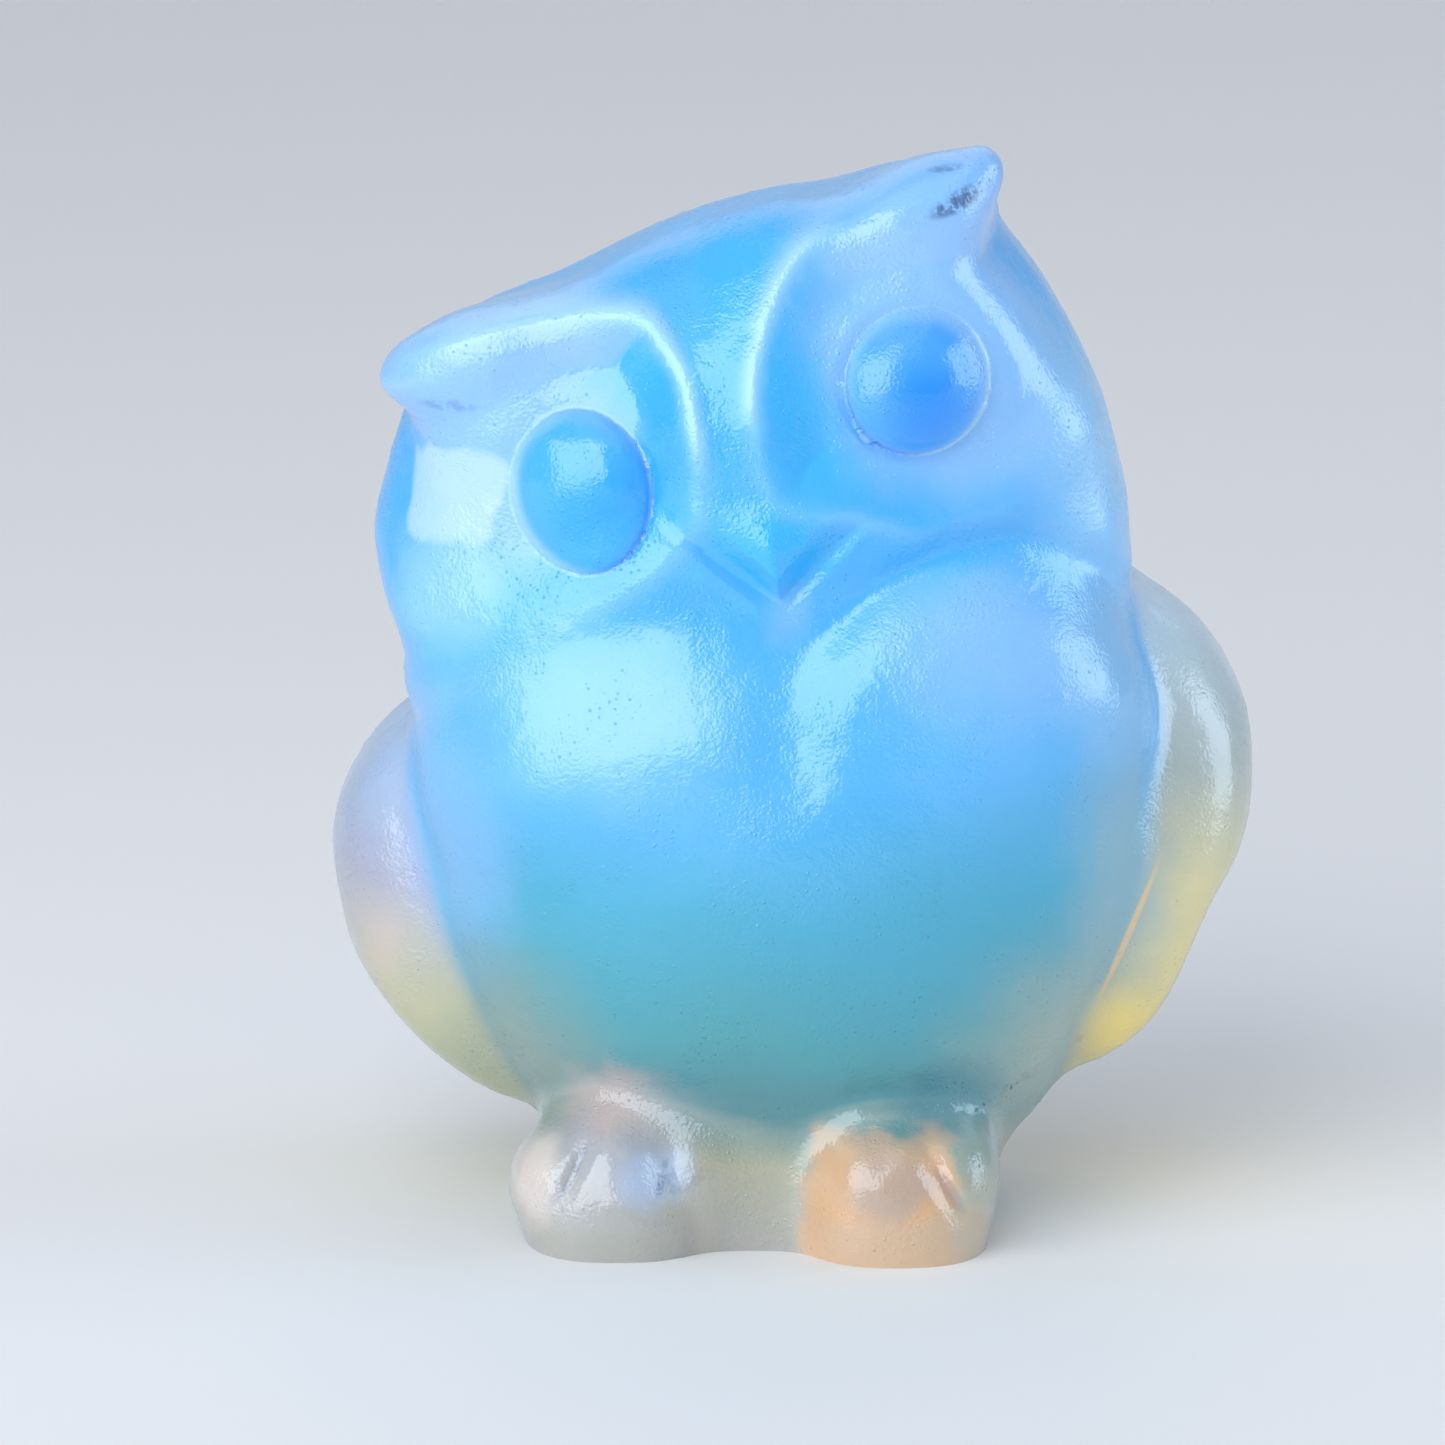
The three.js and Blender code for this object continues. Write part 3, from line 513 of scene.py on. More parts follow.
def settle(points, reach, rounds, low=None, high=None):
    """Moves points onto the surface, and not out of their cells where these are given. Base points stay on the base."""
    grounded = points[:, 2] == 0
    for _ in range(rounds):
        slope = slopes(points, reach)
        slope[grounded, 2] = 0
        steepness = np.sum(slope**2, 1)
        step = np.where(steepness < FLATTEST_SLOPE, 0, owl_distance(*points.T) / np.maximum(steepness, 1e-6))
        points = points - np.clip(step[:, None] * slope, -reach, reach)
        if low is not None:
            points = np.clip(points, low, high)
        points[grounded, 2] = 0
    return points


def grid_lines(span):
    count = math.ceil((span[1] - span[0]) / CELL)
    return np.linspace(span[0], span[1], count + 1)


def open_crossings(value):
    """Where the corners of a grid face are in and out of the stone by turns, two sheets of the surface
    would share an edge. The outer corner nearest to the surface is taken into the stone, until none is left."""
    found = True
    while found:
        found = False
        for first, second in ((0, 1), (0, 2), (1, 2)):
            corners = []
            for a, b in ((0, 0), (1, 0), (1, 1), (0, 1)):
                cut = [slice(None)] * 3
                cut[first] = slice(a, value.shape[first] - 1 + a)
                cut[second] = slice(b, value.shape[second] - 1 + b)
                corners.append(value[tuple(cut)] < 0)
            crossed = (corners[0] == corners[2]) & (corners[1] == corners[3]) & (corners[0] != corners[1])
            for place in np.argwhere(crossed):
                around = []
                for a, b in ((0, 0), (1, 0), (1, 1), (0, 1)):
                    node = place.copy()
                    node[first] += a
                    node[second] += b
                    around.append(tuple(node))
                outer = [node for node in around if value[node] >= 0]
                if len(outer) == 2:
                    value[min(outer, key=lambda node: value[node])] = -1e-3
                    found = True


def mesh_stone():
    """One point in each cell that the surface crosses, joined across each crossed edge of the grid. The lowest
    layer of cells is flattened, so that the stone stands on a flat base at z = 0."""
    axes = [grid_lines(ACROSS), grid_lines(DEEP), np.concatenate([[BELOW_BASE], grid_lines(UP)])]
    x, y, z = (axes[0][:, None, None], axes[1][None, :, None], axes[2][None, None, :])
    value = owl_distance(x, y, z)
    value[:, :, 0] = np.abs(value[:, :, 0]) + 1
    open_crossings(value)
    inside = value < 0

    shape = tuple(n - 1 for n in value.shape)
    total = np.zeros(shape + (3,))
    count = np.zeros(shape)
    for axis in range(3):
        near = [slice(None)] * 3
        far = [slice(None)] * 3
        near[axis] = slice(0, -1)
        far[axis] = slice(1, None)
        near, far = tuple(near), tuple(far)
        crossed = inside[near] != inside[far]
        gap = value[near] - value[far]
        share = np.where(crossed, value[near] / np.where(crossed, gap, 1), 0)
        spots = []
        for other in range(3):
            line = axes[other].reshape([-1 if k == other else 1 for k in range(3)])
            if other == axis:
                lower, upper = line[near], line[far]
                spots.append(lower + (upper - lower) * share)
            else:
                spots.append(np.broadcast_to(line, share.shape))
        others = [k for k in range(3) if k != axis]
        for a in (0, 1):
            for b in (0, 1):
                cut = [slice(None)] * 3
                cut[others[0]] = slice(a, crossed.shape[others[0]] - 1 + a)
                cut[others[1]] = slice(b, crossed.shape[others[1]] - 1 + b)
                cut = tuple(cut)
                hit = crossed[cut]
                if axis == 2:
                    hit = hit.copy()
                    hit[:, :, 0] = False
                count += hit
                for k in range(3):
                    total[..., k] += np.where(hit, spots[k][cut], 0)

    corners = [inside[a : a + shape[0], b : b + shape[1], c : c + shape[2]] for a in (0, 1) for b in (0, 1) for c in (0, 1)]
    inner = sum(corner.astype(int) for corner in corners)
    used = (inner > 0) & (inner < 8)
    number = np.full(shape, -1)
    number[used] = np.arange(used.sum())
    cells = np.argwhere(used)
    low = np.stack([axes[k][cells[:, k]] for k in range(3)], 1)
    high = np.stack([axes[k][cells[:, k] + 1] for k in range(3)], 1)
    counts = count[used][:, None]
    points = np.where(counts > 0, total[used] / np.maximum(counts, 1), (low + high) / 2)
    points[cells[:, 2] == 0, 2] = 0
    margin = CELL_MARGIN * (high - low)
    rim = counts[:, 0] > 0
    points[rim] = settle(points[rim], SLOPE_REACH * 2, 3, (low + margin)[rim], (high - margin)[rim])

    quads = []
    for axis in range(3):
        others = [(axis + 1) % 3, (axis + 2) % 3]
        near = [slice(1, -1)] * 3
        near[axis] = slice(0 if axis == 2 else 1, value.shape[axis] - 1)
        if axis != 2:
            near[2] = slice(1, -1)
        start = inside[tuple(near)]
        shifted = list(near)
        shifted[axis] = slice(near[axis].start + 1, near[axis].stop + 1)
        end = inside[tuple(shifted)]
        at = np.argwhere(start != end) + [cut.start for cut in near]
        leaves = inside[tuple(at.T)]
        ring = []
        for a, b in ((-1, -1), (0, -1), (0, 0), (-1, 0)):
            cell = at.copy()
            cell[:, others[0]] += a
            cell[:, others[1]] += b
            ring.append(number[tuple(cell.T)])
        quad = np.stack(ring, 1)
        quad[~leaves] = quad[~leaves][:, ::-1]
        quads.append(quad)
    quads = np.concatenate(quads)

    span = np.linalg.norm(points[quads[:, 0]] - points[quads[:, 2]], axis=1)
    other_span = np.linalg.norm(points[quads[:, 1]] - points[quads[:, 3]], axis=1)
    quads = np.where((span <= other_span)[:, None], quads, np.roll(quads, -1, 1))
    return points, np.concatenate([quads[:, [0, 1, 2]], quads[:, [0, 2, 3]]])


def refine(points, triangles, sharpest, shortest):
    """Halves each edge whose ends face too different ways, and joins its middle to the corners opposite."""
    normals = slopes(points, SLOPE_REACH / 2)
    normals /= np.linalg.norm(normals, axis=1, keepdims=True)
    ends = np.sort(np.stack([triangles, np.roll(triangles, -1, 1)], 2), 2).reshape(-1, 2)
    edges, which = np.unique(ends, axis=0, return_inverse=True)
    which = which.reshape(-1, 3)
    first, second = edges.T
    facing = np.sum(normals[first] * normals[second], 1)
    length = np.linalg.norm(points[first] - points[second], axis=1)
    grounded = (points[first, 2] == 0) & (points[second, 2] == 0)
    split = (facing < math.cos(math.radians(sharpest))) & (length > shortest) & ~grounded
    middle = np.full(len(edges), -1)
    middle[split] = len(points) + np.arange(split.sum())
    added = (points[first[split]] + points[second[split]]) / 2
    points = np.concatenate([points, settle(added, SLOPE_REACH / 2, 3)])

    made = []
    halves = middle[which]
    marked = halves >= 0
    count = marked.sum(1)
    made.append(triangles[count == 0])
    for turned in range(3):
        t = np.roll(triangles, -turned, 1)
        h = np.roll(halves, -turned, 1)
        m = np.roll(marked, -turned, 1)
        one = (count == 1) & m[:, 0]
        made.append(np.stack([t[one, 0], h[one, 0], t[one, 2]], 1))
        made.append(np.stack([h[one, 0], t[one, 1], t[one, 2]], 1))
        two = (count == 2) & m[:, 0] & m[:, 1]
        made.append(np.stack([h[two, 0], t[two, 1], h[two, 1]], 1))
        made.append(np.stack([t[two, 0], h[two, 0], h[two, 1]], 1))
        made.append(np.stack([t[two, 0], h[two, 1], t[two, 2]], 1))
    whole = count == 3
    t, h = triangles[whole], halves[whole]
    for corner in range(3):
        made.append(np.stack([t[:, corner], h[:, corner], h[:, corner - 1]], 1))
    made.append(h)
    return points, np.concatenate(made)


def sculpt_owl():
    points, triangles = mesh_stone()
    for _ in range(REFINING_ROUNDS):
        finer = refine(points, triangles, SHARPEST_TURN, SHORTEST_EDGE)
        if len(finer[1]) > MOST_TRIANGLES:
            break
        points, triangles = finer
    return points, triangles


# What the paint needs to know of the form: how deep the stone is under each point, for a painted glow where it is thin,
# how far the point is sunk between its neighbours, for painted shade, whether it is on a wing, and how much it is on a
# crest
THIN_DEPTHS = (1.5, 3.0, 5.0)
HOLLOW_REACH = 1.6
WING_EDGE = 0.5
CREST_WIDE = 0.34


def form_of(points):
    normals = slopes(points, SLOPE_REACH)
    normals /= np.linalg.norm(normals, axis=1, keepdims=True)
    solid = sum(-owl_distance(*(points - normals * depth).T) / depth for depth in THIN_DEPTHS) / len(THIN_DEPTHS)
    open_air = owl_distance(*(points + normals * HOLLOW_REACH).T) / HOLLOW_REACH
    on_wing = smooth_step(trunk_distance(*points.T) - wings_distance(*points.T), -WING_EDGE, WING_EDGE)
    return {
        "thin": 1 - np.clip(solid, 0, 1),
        "hollow": 1 - np.clip(open_air, 0, 1),
        "wing": on_wing,
        "crest": crest_share(*points.T),
    }


def srgb(red, green, blue):
    """A colour given as it shows on a screen, 0 to 255, in linear light."""
    parts = []
    for level in (red, green, blue):
        c = level / 255
        parts.append(c / 12.92 if c <= 0.04045 else ((c + 0.055) / 1.055) ** 2.4)
    return (*parts, 1.0)


class Value:
    """A number that varies over the surface. Arithmetic on it adds Math nodes."""

    def __init__(self, finish, socket):
        self.finish = finish
        self.socket = socket

    def math(self, operation, *values):
        numbers = dict(enumerate(values))
        return Value(self.finish, self.finish.node("ShaderNodeMath", {"operation": operation}, numbers).outputs[0])

    def __add__(self, other):
        return self.math("ADD", self, other)

    def __radd__(self, other):
        return self.math("ADD", other, self)

    def __sub__(self, other):
        return self.math("SUBTRACT", self, other)

    def __rsub__(self, other):
        return self.math("SUBTRACT", other, self)

    def __mul__(self, other):
        return self.math("MULTIPLY", self, other)

    def __rmul__(self, other):
        return self.math("MULTIPLY", other, self)

    def __truediv__(self, other):
        return self.math("DIVIDE", self, other)

    def __pow__(self, other):
        return self.math("POWER", self, other)

    def step(self, low, high):
        """0 below low and 1 above high, with a smooth rise between them. High may be the smaller one."""
        settings = {"interpolation_type": "SMOOTHSTEP"}
        if low > high:
            return 1 - self.step(high, low)
        return Value(self.finish, self.finish.node("ShaderNodeMapRange", settings, {0: self, 1: low, 2: high}).outputs[0])


class Finish:
    """A material, and short ways to add its nodes."""

    def __init__(self, name):
        self.material = bpy.data.materials.new(name)
        self.material.use_nodes = True
        self.tree = self.material.node_tree
        self.tree.nodes.clear()

    def node(self, kind, settings=None, sockets=None):
        made = self.tree.nodes.new(kind)
        for key, setting in (settings or {}).items():
            if key == "stops":
                while len(made.color_ramp.elements) < len(setting):
                    made.color_ramp.elements.new(1.0)
                for element, (position, colour) in zip(made.color_ramp.elements, setting):
                    element.position = position
                    element.color = colour
            elif key == "ease":
                made.color_ramp.interpolation = setting
            else:
                setattr(made, key, setting)
        for key, value in (sockets or {}).items():
            if isinstance(value, Value):
                value = value.socket
            if isinstance(value, bpy.types.NodeSocket):
                self.tree.links.new(value, made.inputs[key])
            else:
                made.inputs[key].default_value = value
        return made

    def attribute(self, name):
        return Value(self, self.node("ShaderNodeAttribute", {"attribute_name": name}).outputs["Fac"])

    def ramp(self, value, stops, ease="LINEAR"):
        return self.node("ShaderNodeValToRGB", {"stops": stops, "ease": ease}, {0: value}).outputs[0]

    def blend(self, share, first, second, way="MIX"):
        settings = {"data_type": "RGBA", "blend_type": way, "clamp_factor": True}
        return self.node("ShaderNodeMix", settings, {0: share, 6: first, 7: second}).outputs[2]

    def noise(self, place, scale, detail=2.0, roughness=0.5):
        sockets = {"Vector": place, "Scale": scale, "Detail": detail, "Roughness": roughness}
        return Value(self, self.node("ShaderNodeTexNoise", None, sockets).outputs["Fac"])

    def near(self, place, centre, size, full=0.3):
        """1 within a share of the size of a spot and 0 beyond the size. The size is given along each axis."""
        away = self.node("ShaderNodeVectorMath", {"operation": "SUBTRACT"}, {0: place, 1: centre}).outputs[0]
        scaled = self.node("ShaderNodeVectorMath", {"operation": "DIVIDE"}, {0: away, 1: size}).outputs[0]
        length = self.node("ShaderNodeVectorMath", {"operation": "LENGTH"}, {0: scaled}).outputs["Value"]
        return Value(self, length).step(1.0, full)

    def boxed(self, place, centre, size, full):
        """As near, for a patch with the form of a box."""
        away = self.node("ShaderNodeVectorMath", {"operation": "SUBTRACT"}, {0: place, 1: centre}).outputs[0]
        scaled = self.node("ShaderNodeVectorMath", {"operation": "DIVIDE"}, {0: away, 1: size}).outputs[0]
        split = self.node("ShaderNodeSeparateXYZ", None, {0: scaled})
        x, y, z = (Value(self, split.outputs[axis]) for axis in range(3))
        return (x**6 + y**6 + z**6).step(1.0, full**6)

    def drifted(self, place, scale, reach):
        """The place moved a little to and fro, so that edges found from it are uneven."""
        wave = self.node("ShaderNodeTexNoise", None, {"Vector": place, "Scale": scale}).outputs["Color"]
        way = self.node("ShaderNodeVectorMath", {"operation": "SUBTRACT"}, {0: wave, 1: (0.5, 0.5, 0.5)}).outputs[0]
        move = self.node("ShaderNodeVectorMath", {"operation": "SCALE"}, {0: way, "Scale": reach}).outputs[0]
        return self.node("ShaderNodeVectorMath", {"operation": "ADD"}, {0: place, 1: move}).outputs[0]

    def crescent(self, x, z, eye, toward, thick):
        """1 on a crescent at the rim of an eye, seen from the front. It is thickest towards an angle."""
        (ex, ez), (half_x, half_z) = eye["at"], eye["half"]
        c, s = math.cos(math.radians(toward)), math.sin(math.radians(toward))
        across, up = (x - ex) / half_x, (z - ez) / half_z
        rim = (across * across + up * up) ** 0.5
        across, up = across + thick * c, up + thick * s
        inner = (across * across + up * up) ** 0.5
        return rim.step(1.06, 1.0) * inner.step(1.0, 1 + thick)

    def streak(self, x, z, at, lean, long, wide):
        """1 along the middle of a slanted streak, seen from the front, and 0 beyond its edges."""
        c, s = math.cos(math.radians(lean)), math.sin(math.radians(lean))
        along = ((x - at[0]) * c + (z - at[1]) * s) / long
        across = ((z - at[1]) * c - (x - at[0]) * s) / wide
        return (along * along + across * across).step(1.0, 0.1)

    def dots(self, place, per_mm, radius):
        """Small round dots, 1 at the middle of each, where a scatter of points comes near the surface."""
        sockets = {"Vector": place, "Scale": per_mm}
        away = Value(self, self.node("ShaderNodeTexVoronoi", None, sockets).outputs["Distance"])
        return away.step(radius * per_mm, 0)


# The stone's colour by height, in shares of the owl's height, and the colours of its thin and deep places
OWL_HEIGHT = 38.0
TRUNK_COLOURS = [
    # Pale cream at the foot of the stone: a painted glow of light passing down through it
    (0.00, srgb(170, 170, 165)),
    (0.07, srgb(171, 172, 149)),
    # Dark teal low on the belly: painted shade under it
    (0.12, srgb(82, 138, 144)),
    (0.20, srgb(74, 162, 173)),
    (0.32, srgb(64, 171, 206)),
    (0.45, srgb(90, 186, 250)),
    (0.60, srgb(75, 184, 255)),
    (0.80, srgb(55, 180, 255)),
    (1.00, srgb(77, 182, 255)),
]
# Pale colours of thin places: a painted glow of light passing through the thin stone
THIN_GLOW_COLOURS = [
    (0.00, srgb(200, 195, 185)),
    (0.12, srgb(175, 180, 165)),
    (0.30, srgb(160, 190, 200)),
    (0.50, srgb(160, 200, 250)),
    (0.75, srgb(155, 200, 255)),
    (1.00, srgb(145, 198, 255)),
]
# Wing colours by height: the warm cream and amber low down are a painted glow of light through the thin wings
LEFT_WING_COLOURS = [
    (0.05, srgb(190, 196, 142)),
    (0.20, srgb(203, 198, 156)),
    (0.32, srgb(166, 170, 192)),
    (0.48, srgb(172, 214, 255)),
]
RIGHT_WING_COLOURS = [
    (0.12, srgb(255, 215, 95)),
    (0.20, srgb(250, 225, 135)),
    (0.30, srgb(225, 215, 160)),
    (0.42, srgb(178, 190, 186)),
    (0.55, srgb(196, 224, 240)),
]
# Deeper azure for places sunk between their neighbours: painted shade
HOLLOW_SHADE_AZURE = srgb(35, 160, 255)
# Pale blue of the crest lines, partly a painted highlight, and of the painted glints at the eyes
CREST_LIGHT = srgb(175, 226, 255)
EYE_SHADE = srgb(20, 110, 230)

# Soft patches of other colours: middle and reach in millimetres, colour and strength
PATCHES = [
    dict(name="right disc", at=(5.6, -7.0, 30.8), reach=(6.6, 6, 6.6), colour=srgb(150, 202, 255), share=0.85, full=0.5),
    dict(name="left disc", at=(-9.9, -7.0, 27.4), reach=(5.6, 6, 5.6), colour=srgb(142, 196, 255), share=0.85, full=0.5),
    dict(name="right eye", at=(4.15, -8.5, 29.85), reach=(2.7, 4, 2.7), colour=srgb(55, 165, 255), share=0.9, full=0.7, exact=True),
    # Deeper blue low on the right eye's dome: painted shade
    dict(name="right eye shade", at=(4.5, -9.0, 29.2), reach=(2.2, 4, 2.0), colour=srgb(15, 148, 255), share=0.9, full=0.2, exact=True),
    dict(name="left eye", at=(-7.2, -8.0, 26.1), reach=(2.6, 4, 2.95), colour=srgb(55, 178, 255), share=0.9, full=0.75, exact=True),
    # Deeper blue low on the left eye's dome: painted shade
    dict(name="left eye shade", at=(-6.8, -8.6, 25.5), reach=(2.2, 4, 2.4), colour=srgb(10, 168, 255), share=0.85, full=0.2, exact=True),
    # Pale lower left cheek: a painted highlight
    dict(name="left jaw", at=(-11.9, -5.0, 22.2), reach=(3.0, 5, 3.4), colour=srgb(165, 216, 255), share=0.6, full=0.2),
    # Pale box on the left cheek: a painted highlight
    dict(name="left cheek highlight", at=(-11.5, -5.0, 25.5), reach=(1.65, 5, 1.8), colour=srgb(205, 236, 255), share=0.55, full=0.6, boxed=True),
    dict(name="beak", at=(-0.4, -9.5, 24.2), reach=(3.0, 3, 2.2), colour=srgb(34, 186, 255), share=0.7, full=0.3),
    # Paler left breast where the light falls on the chest: a painted highlight
    dict(name="left breast", at=(-6.5, -9.5, 18.8), reach=(6.5, 5, 4.0), colour=srgb(140, 205, 255), share=0.6, full=0.2),
    # Paler right breast, temple and breast edge: painted light on the right side
    dict(name="right breast", at=(7.0, -9.0, 21.0), reach=(6.0, 5, 4.5), colour=srgb(145, 200, 255), share=0.8, full=0.2),
    dict(name="right temple", at=(11.0, -3.0, 27.0), reach=(4.5, 8, 8.0), colour=srgb(164, 216, 255), share=0.8, full=0.2),
    dict(name="right breast edge", at=(10.5, -5.0, 19.5), reach=(3.5, 6, 4.5), colour=srgb(160, 205, 240), share=0.6, full=0.2),
    # Paler flanks near the outline: painted rim light through the edge of the stone
    dict(name="left hip", at=(-11.0, -5.0, 14.0), reach=(3.5, 6, 7.0), colour=srgb(138, 192, 250), share=0.6, full=0.2),
    dict(name="right hip", at=(11.0, -5.0, 12.0), reach=(3.2, 6, 7.5), colour=srgb(148, 182, 192), share=0.7, full=0.2),
    dict(name="low left side", at=(-10.0, -6.0, 6.0), reach=(6.0, 8, 6.0), colour=srgb(146, 162, 150), share=0.8, full=0.0),
    dict(name="low right side", at=(9.0, -6.0, 6.5), reach=(6.2, 8, 6.0), colour=srgb(165, 180, 168), share=0.85, full=0.0),
    # Amber right wing tip and warm left wing edge: a painted glow of light through the thin stone
    dict(name="right wing tip", at=(11.3, 0, 6.8), reach=(2.3, 9, 2.7), colour=srgb(255, 226, 122), share=1.0, full=0.3, exact=True),
    dict(name="left wing glow", at=(-14.3, 0, 9.5), reach=(1.4, 8, 2.2), colour=srgb(225, 192, 182), share=0.35, full=0.0),
    # Dark teal at the right ankle: painted shade under the belly
    dict(name="right ankle", at=(5.1, -7.5, 5.3), reach=(3.0, 4, 1.8), colour=srgb(66, 138, 154), share=0.7, full=0.3),
    dict(name="left shin", at=(-6.0, -8.5, 4.6), reach=(4.0, 4, 2.4), colour=srgb(158, 162, 168), share=0.75, full=0.2),
    dict(name="left ankle", at=(-6.9, -9.0, 5.0), reach=(3.2, 4, 2.0), colour=srgb(204, 182, 174), share=0.8, full=0.1),
    dict(name="left foot", at=(-6.4, -9.0, 2.6), reach=(3.8, 5, 2.6), colour=srgb(186, 188, 204), share=0.6, full=0.2),
    dict(name="left toe", at=(-8.8, -8.0, 2.4), reach=(1.6, 4, 2.2), colour=srgb(225, 214, 208), share=0.8, full=0.3),
    # Pale blue spot in the left foot's hollow: a painted highlight
    dict(name="left foot hollow", at=(-4.9, -9.5, 2.7), reach=(1.9, 4, 1.6), colour=srgb(178, 204, 240), share=0.7, full=0.2),
    # Peach and orange on the right foot: a painted glow of light through the stone
    dict(name="right foot", at=(2.85, -9.5, 1.2), reach=(2.8, 5, 3.5), colour=srgb(224, 178, 134), share=0.9, full=0.5, boxed=True),
    dict(name="right foot base", at=(4.2, -9.5, 0), reach=(3.6, 6, 1.9), colour=srgb(206, 180, 150), share=0.7, full=0.4, boxed=True),
    dict(name="right toe", at=(3.1, -10.5, 2.9), reach=(2.0, 4, 1.7), colour=srgb(186, 166, 152), share=0.85, full=0.4),
    # Deeper azure in the sockets beside the nose: painted shade
    dict(name="left socket", at=(-4.2, -7.5, 28.1), reach=(1.7, 4, 2.8), colour=srgb(38, 165, 255), share=0.6, full=0.2),
    dict(name="right socket", at=(0.4, -8.0, 29.0), reach=(1.8, 4, 3.0), colour=srgb(50, 190, 255), share=0.6, full=0.2),
    # Deeper azure in the hollows under the disc rims: painted shade
    dict(name="under left eye", at=(-4.6, -8.5, 22.5), reach=(3.0, 4, 1.5), colour=srgb(38, 168, 255), share=0.6, full=0.2),
    dict(name="under right eye", at=(5.0, -8.5, 24.0), reach=(4.0, 4, 1.2), colour=srgb(50, 184, 255), share=0.5, full=0.2),
    dict(name="beak tip", at=(-0.3, -9.0, 22.1), reach=(1.3, 3, 1.4), colour=srgb(135, 195, 255), share=0.6, full=0.1),
]

# Marks in the cuts: middle from the front, lean, half length and half width, colour and strength
MARK_BLUE = srgb(62, 92, 140)
# Amber for a painted glow of light through the stone
AMBER_GLOW = srgb(255, 205, 128)
MARKS = [
    dict(name="right ear", at=(5.5, 35.75), lean=24, long=1.3, wide=0.42, colour=MARK_BLUE, share=0.85, speckled=True),
    dict(name="right ear top", at=(5.1, 36.75), lean=6, long=0.8, wide=0.14, colour=MARK_BLUE, share=0.5, speckled=True),
    dict(name="left ear", at=(-11.7, 28.75), lean=-3, long=1.2, wide=0.28, colour=MARK_BLUE, share=0.35, speckled=True),
    dict(name="outer toe cut", at=(-7.5, 2.9), lean=63, long=1.3, wide=0.16, colour=MARK_BLUE, share=0.4, speckled=True),
    dict(name="inner toe cut", at=(-4.5, 2.7), lean=75, long=0.9, wide=0.2, colour=MARK_BLUE, share=0.35, speckled=True),
    dict(name="inner toe", at=(-3.9, 2.6), lean=20, long=1.1, wide=0.6, colour=MARK_BLUE, share=0.25, speckled=True),
    dict(name="right toe cut", at=(5.3, 2.5), lean=-58, long=1.1, wide=0.3, colour=MARK_BLUE, share=0.3, speckled=False),
    # An amber line along the right wing's edge: a painted glow
    dict(name="right wing edge", at=(11.5, 10.3), lean=67, long=3.2, wide=0.16, colour=AMBER_GLOW, share=0.6, speckled=False),
]
PITS_PER_MM = 2.9
SPECKS_PER_MM = 3.6
SPOT_RADIUS = 0.065


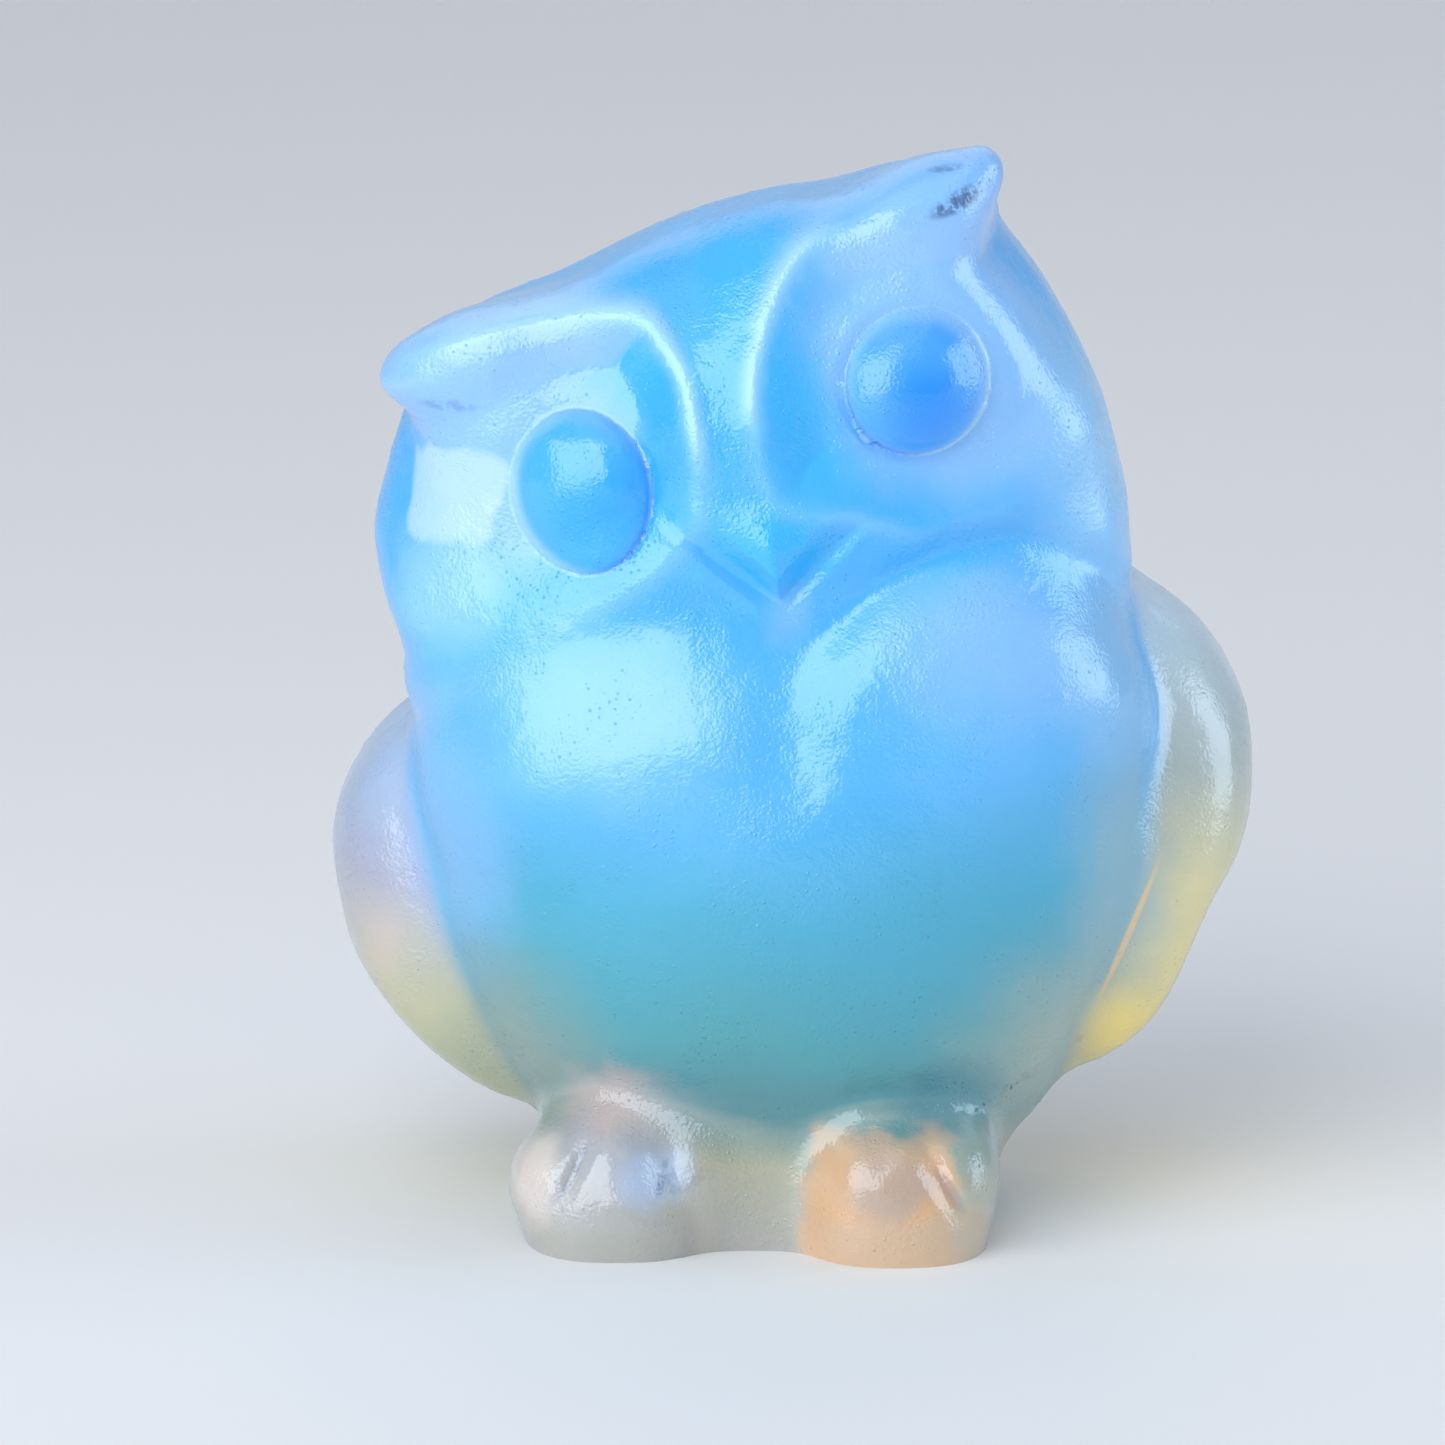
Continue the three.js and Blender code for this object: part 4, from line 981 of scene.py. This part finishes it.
def opal_finish(offset):
    f = Finish("opal")
    place = f.node("ShaderNodeTexCoord").outputs["Object"]
    sockets = {"Vector": place, "Scale": (1 / MM, 1 / MM, 1 / MM), "Location": (-offset[0], -offset[1], 0)}
    spot = f.node("ShaderNodeMapping", None, sockets).outputs[0]
    split = f.node("ShaderNodeSeparateXYZ", None, {0: spot})
    x, y, z = (Value(f, split.outputs[axis]) for axis in range(3))
    thin, hollow, wing, crest = (f.attribute(name) for name in ("thin", "hollow", "wing", "crest"))

    cloud = f.noise(spot, 0.12, 2.0)
    height = (z + (cloud - 0.5) * 4) / OWL_HEIGHT
    # Colour by height, with painted shade low on the belly and a painted glow below it
    colour = f.ramp(height, TRUNK_COLOURS)
    # Thin places are painted paler, a painted glow of light through the stone
    colour = f.blend((thin - 0.1) * 2.0, colour, f.ramp(height, THIN_GLOW_COLOURS))
    # Sunk places on the head and chest are painted deeper azure, a painted shade
    colour = f.blend(hollow.step(0.25, 0.9) * z.step(14, 22) * 0.7, colour, HOLLOW_SHADE_AZURE)
    # Wing colours, warm low down with a painted glow
    wings = f.blend(x.step(-1, 1), f.ramp(height, LEFT_WING_COLOURS), f.ramp(height, RIGHT_WING_COLOURS))
    colour = f.blend(wing, colour, wings)
    drift = f.drifted(spot, 0.45, 1.8)
    for patch in PATCHES:
        shape = f.boxed if patch.get("boxed") else f.near
        where = spot if patch.get("exact") else drift
        share = shape(where, patch["at"], patch["reach"], patch["full"]) * patch["share"]
        colour = f.blend(share, colour, patch["colour"])
    # Crest lines painted paler: partly the stone's pale edge, partly a painted highlight
    colour = f.blend(crest * 0.7, colour, CREST_LIGHT)
    in_front = y.step(2, 0)
    tints = {"light": CREST_LIGHT, "shade": EYE_SHADE}
    # Painted glints and painted shade on the rims of the eyes
    for eye in EYES:
        for toward, thick, tint, strength in eye["crescents"]:
            share = f.crescent(x, z, eye, toward, thick) * strength * in_front
            colour = f.blend(share, colour, tints[tint])
    speckle = f.noise(spot, 2.5, 3.0, 0.7).step(0.35, 0.6)
    for mark in MARKS:
        share = f.streak(x, z, mark["at"], mark["lean"], mark["long"], mark["wide"]) * mark["share"]
        if mark["speckled"]:
            share = share * speckle
        colour = f.blend(share * in_front, colour, mark["colour"])

    grain = f.noise(spot, 8.0, 1.0)
    peel = f.noise(spot, 1.3, 2.0)
    sparkle = f.noise(spot, 0.45).step(0.4, 0.6)
    pits = f.dots(spot, PITS_PER_MM, SPOT_RADIUS)
    specks = f.dots(spot, SPECKS_PER_MM, SPOT_RADIUS)
    height_map = grain * (0.2 + sparkle * 0.34) + peel * 0.6 - pits * (0.12 - wing * 0.06) + specks * (0.05 + sparkle * 0.5)
    bumps = f.node("ShaderNodeBump", None, {"Strength": 1.0, "Distance": 0.055 * MM, "Height": height_map})
    stone = f.node(
        "ShaderNodeBsdfPrincipled",
        None,
        {
            "Base Color": colour,
            "Roughness": 0.15 + (grain - 0.5) * 0.2 + sparkle * 0.04,
            "IOR": 1.6,
            "Specular IOR Level": 0.85,
            "Specular Tint": (0.85, 0.93, 1.0, 1.0),
            "Sheen Weight": 0.22,
            "Sheen Roughness": 0.4,
            "Sheen Tint": (0.5, 0.72, 1.0, 1.0),
            "Normal": bumps.outputs[0],
        },
    )
    f.node("ShaderNodeOutputMaterial", None, {0: stone.outputs[0]})
    return f.material


def make_mesh(name, points, triangles, material):
    mesh = bpy.data.meshes.new(name)
    mesh.from_pydata(points.tolist(), [], triangles.tolist())
    mesh.materials.append(material)
    mesh.shade_smooth()
    made = bpy.data.objects.new(name, mesh)
    bpy.context.scene.collection.objects.link(made)
    return made


def make_owl():
    points, triangles = sculpt_owl()
    offset = (cad_box[0] + cad_box[1]) / 2 / MM - Vector((points.min(0) + points.max(0)) / 2)
    offset.z = 0
    form = form_of(points)
    owl = make_mesh("polished_owl", (points + np.array(offset)) * MM, triangles, opal_finish(offset))
    owl.data.set_sharp_from_angle(angle=math.radians(60))
    for name, values in form.items():
        layer = owl.data.attributes.new(name, "FLOAT", "POINT")
        layer.data.foreach_set("value", values.astype(np.float32))
    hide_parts("owl")
    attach(owl, "root")
    return offset


# The camera looks down a little at the owl's middle. Distances in millimetres, from the sculpt's own origin
CAMERA_TARGET = (-2.42, 0, 16.56)
CAMERA_DISTANCE = 350
CAMERA_HEIGHT_ANGLE = 12.0
VIEW_WIDTH = 50
SENSOR_WIDTH = 36


def make_camera(offset):
    lens = bpy.data.cameras.new("camera")
    lens.sensor_width = SENSOR_WIDTH
    lens.lens = SENSOR_WIDTH * CAMERA_DISTANCE / VIEW_WIDTH
    camera = bpy.data.objects.new("camera", lens)
    bpy.context.scene.collection.objects.link(camera)
    angle = math.radians(CAMERA_HEIGHT_ANGLE)
    back = Vector((0, -math.cos(angle), math.sin(angle)))
    camera.location = (Vector(CAMERA_TARGET) + offset + back * CAMERA_DISTANCE) * MM
    camera.rotation_euler = (math.pi / 2 - angle, 0, 0)
    bpy.context.scene.camera = camera


def add_softbox(name, azimuth, elevation, distance, width, height, power, colour=(1, 1, 1), roll=0):
    """A rectangular light that faces the owl. Azimuth 0 is in front of it and 90 on the right of the picture.
    A roll lifts its right side."""
    lamp = bpy.data.lights.new(name, "AREA")
    lamp.shape = "RECTANGLE"
    lamp.size = width
    lamp.size_y = height
    lamp.energy = power
    lamp.color = colour
    a, e = math.radians(azimuth), math.radians(elevation)
    way = Vector((math.sin(a) * math.cos(e), -math.cos(a) * math.cos(e), math.sin(e)))
    made = bpy.data.objects.new(name, lamp)
    made.location = way * distance + Vector((0, 0, 0.018))
    made.rotation_euler = (way.to_track_quat("Z", "Y") @ Quaternion((0, 0, 1), math.radians(roll))).to_euler()
    bpy.context.scene.collection.objects.link(made)


def light_studio():
    add_softbox("left_softbox", -38, 27, 0.35, 0.42, 0.36, 1.2, roll=18)
    add_softbox("top_softbox", 0, 78, 0.50, 0.50, 0.50, 0.4)
    add_softbox("right_softbox", 92, 12, 0.45, 0.30, 0.36, 0.9, (0.78, 0.89, 1.0))
    add_softbox("back_softbox", 180, 35, 0.60, 0.60, 0.40, 0.35)
    world = bpy.data.worlds.new("studio_air")
    world.use_nodes = True
    world.node_tree.nodes["Background"].inputs["Color"].default_value = (0.85, 0.9, 1.0, 1)
    world.node_tree.nodes["Background"].inputs["Strength"].default_value = 0.36
    bpy.context.scene.world = world
    bpy.context.scene.view_settings.view_transform = "Standard"


def make_floor():
    """A floor that sweeps up behind the owl."""
    f = Finish("pale_floor")
    surface = f.node("ShaderNodeBsdfPrincipled", None, {"Base Color": srgb(236, 238, 241), "Roughness": 0.6})
    f.node("ShaderNodeOutputMaterial", None, {0: surface.outputs[0]})
    front, back, side, bend, top = -0.8, 0.7, 1.2, 0.25, 0.9
    profile = [(front, 0.0), (back - bend, 0.0)]
    for step in range(1, 13):
        angle = math.pi / 2 * step / 12
        profile.append((back - bend + bend * math.sin(angle), bend - bend * math.cos(angle)))
    profile.append((back, top))
    points = np.array([(x, y, z) for y, z in profile for x in (-side, side)])
    triangles = []
    for step in range(len(profile) - 1):
        a = 2 * step
        triangles += [(a, a + 1, a + 3), (a, a + 3, a + 2)]
    make_mesh("floor", points, np.array(triangles), f.material)


offset = make_owl()
make_camera(offset)
light_studio()
make_floor()
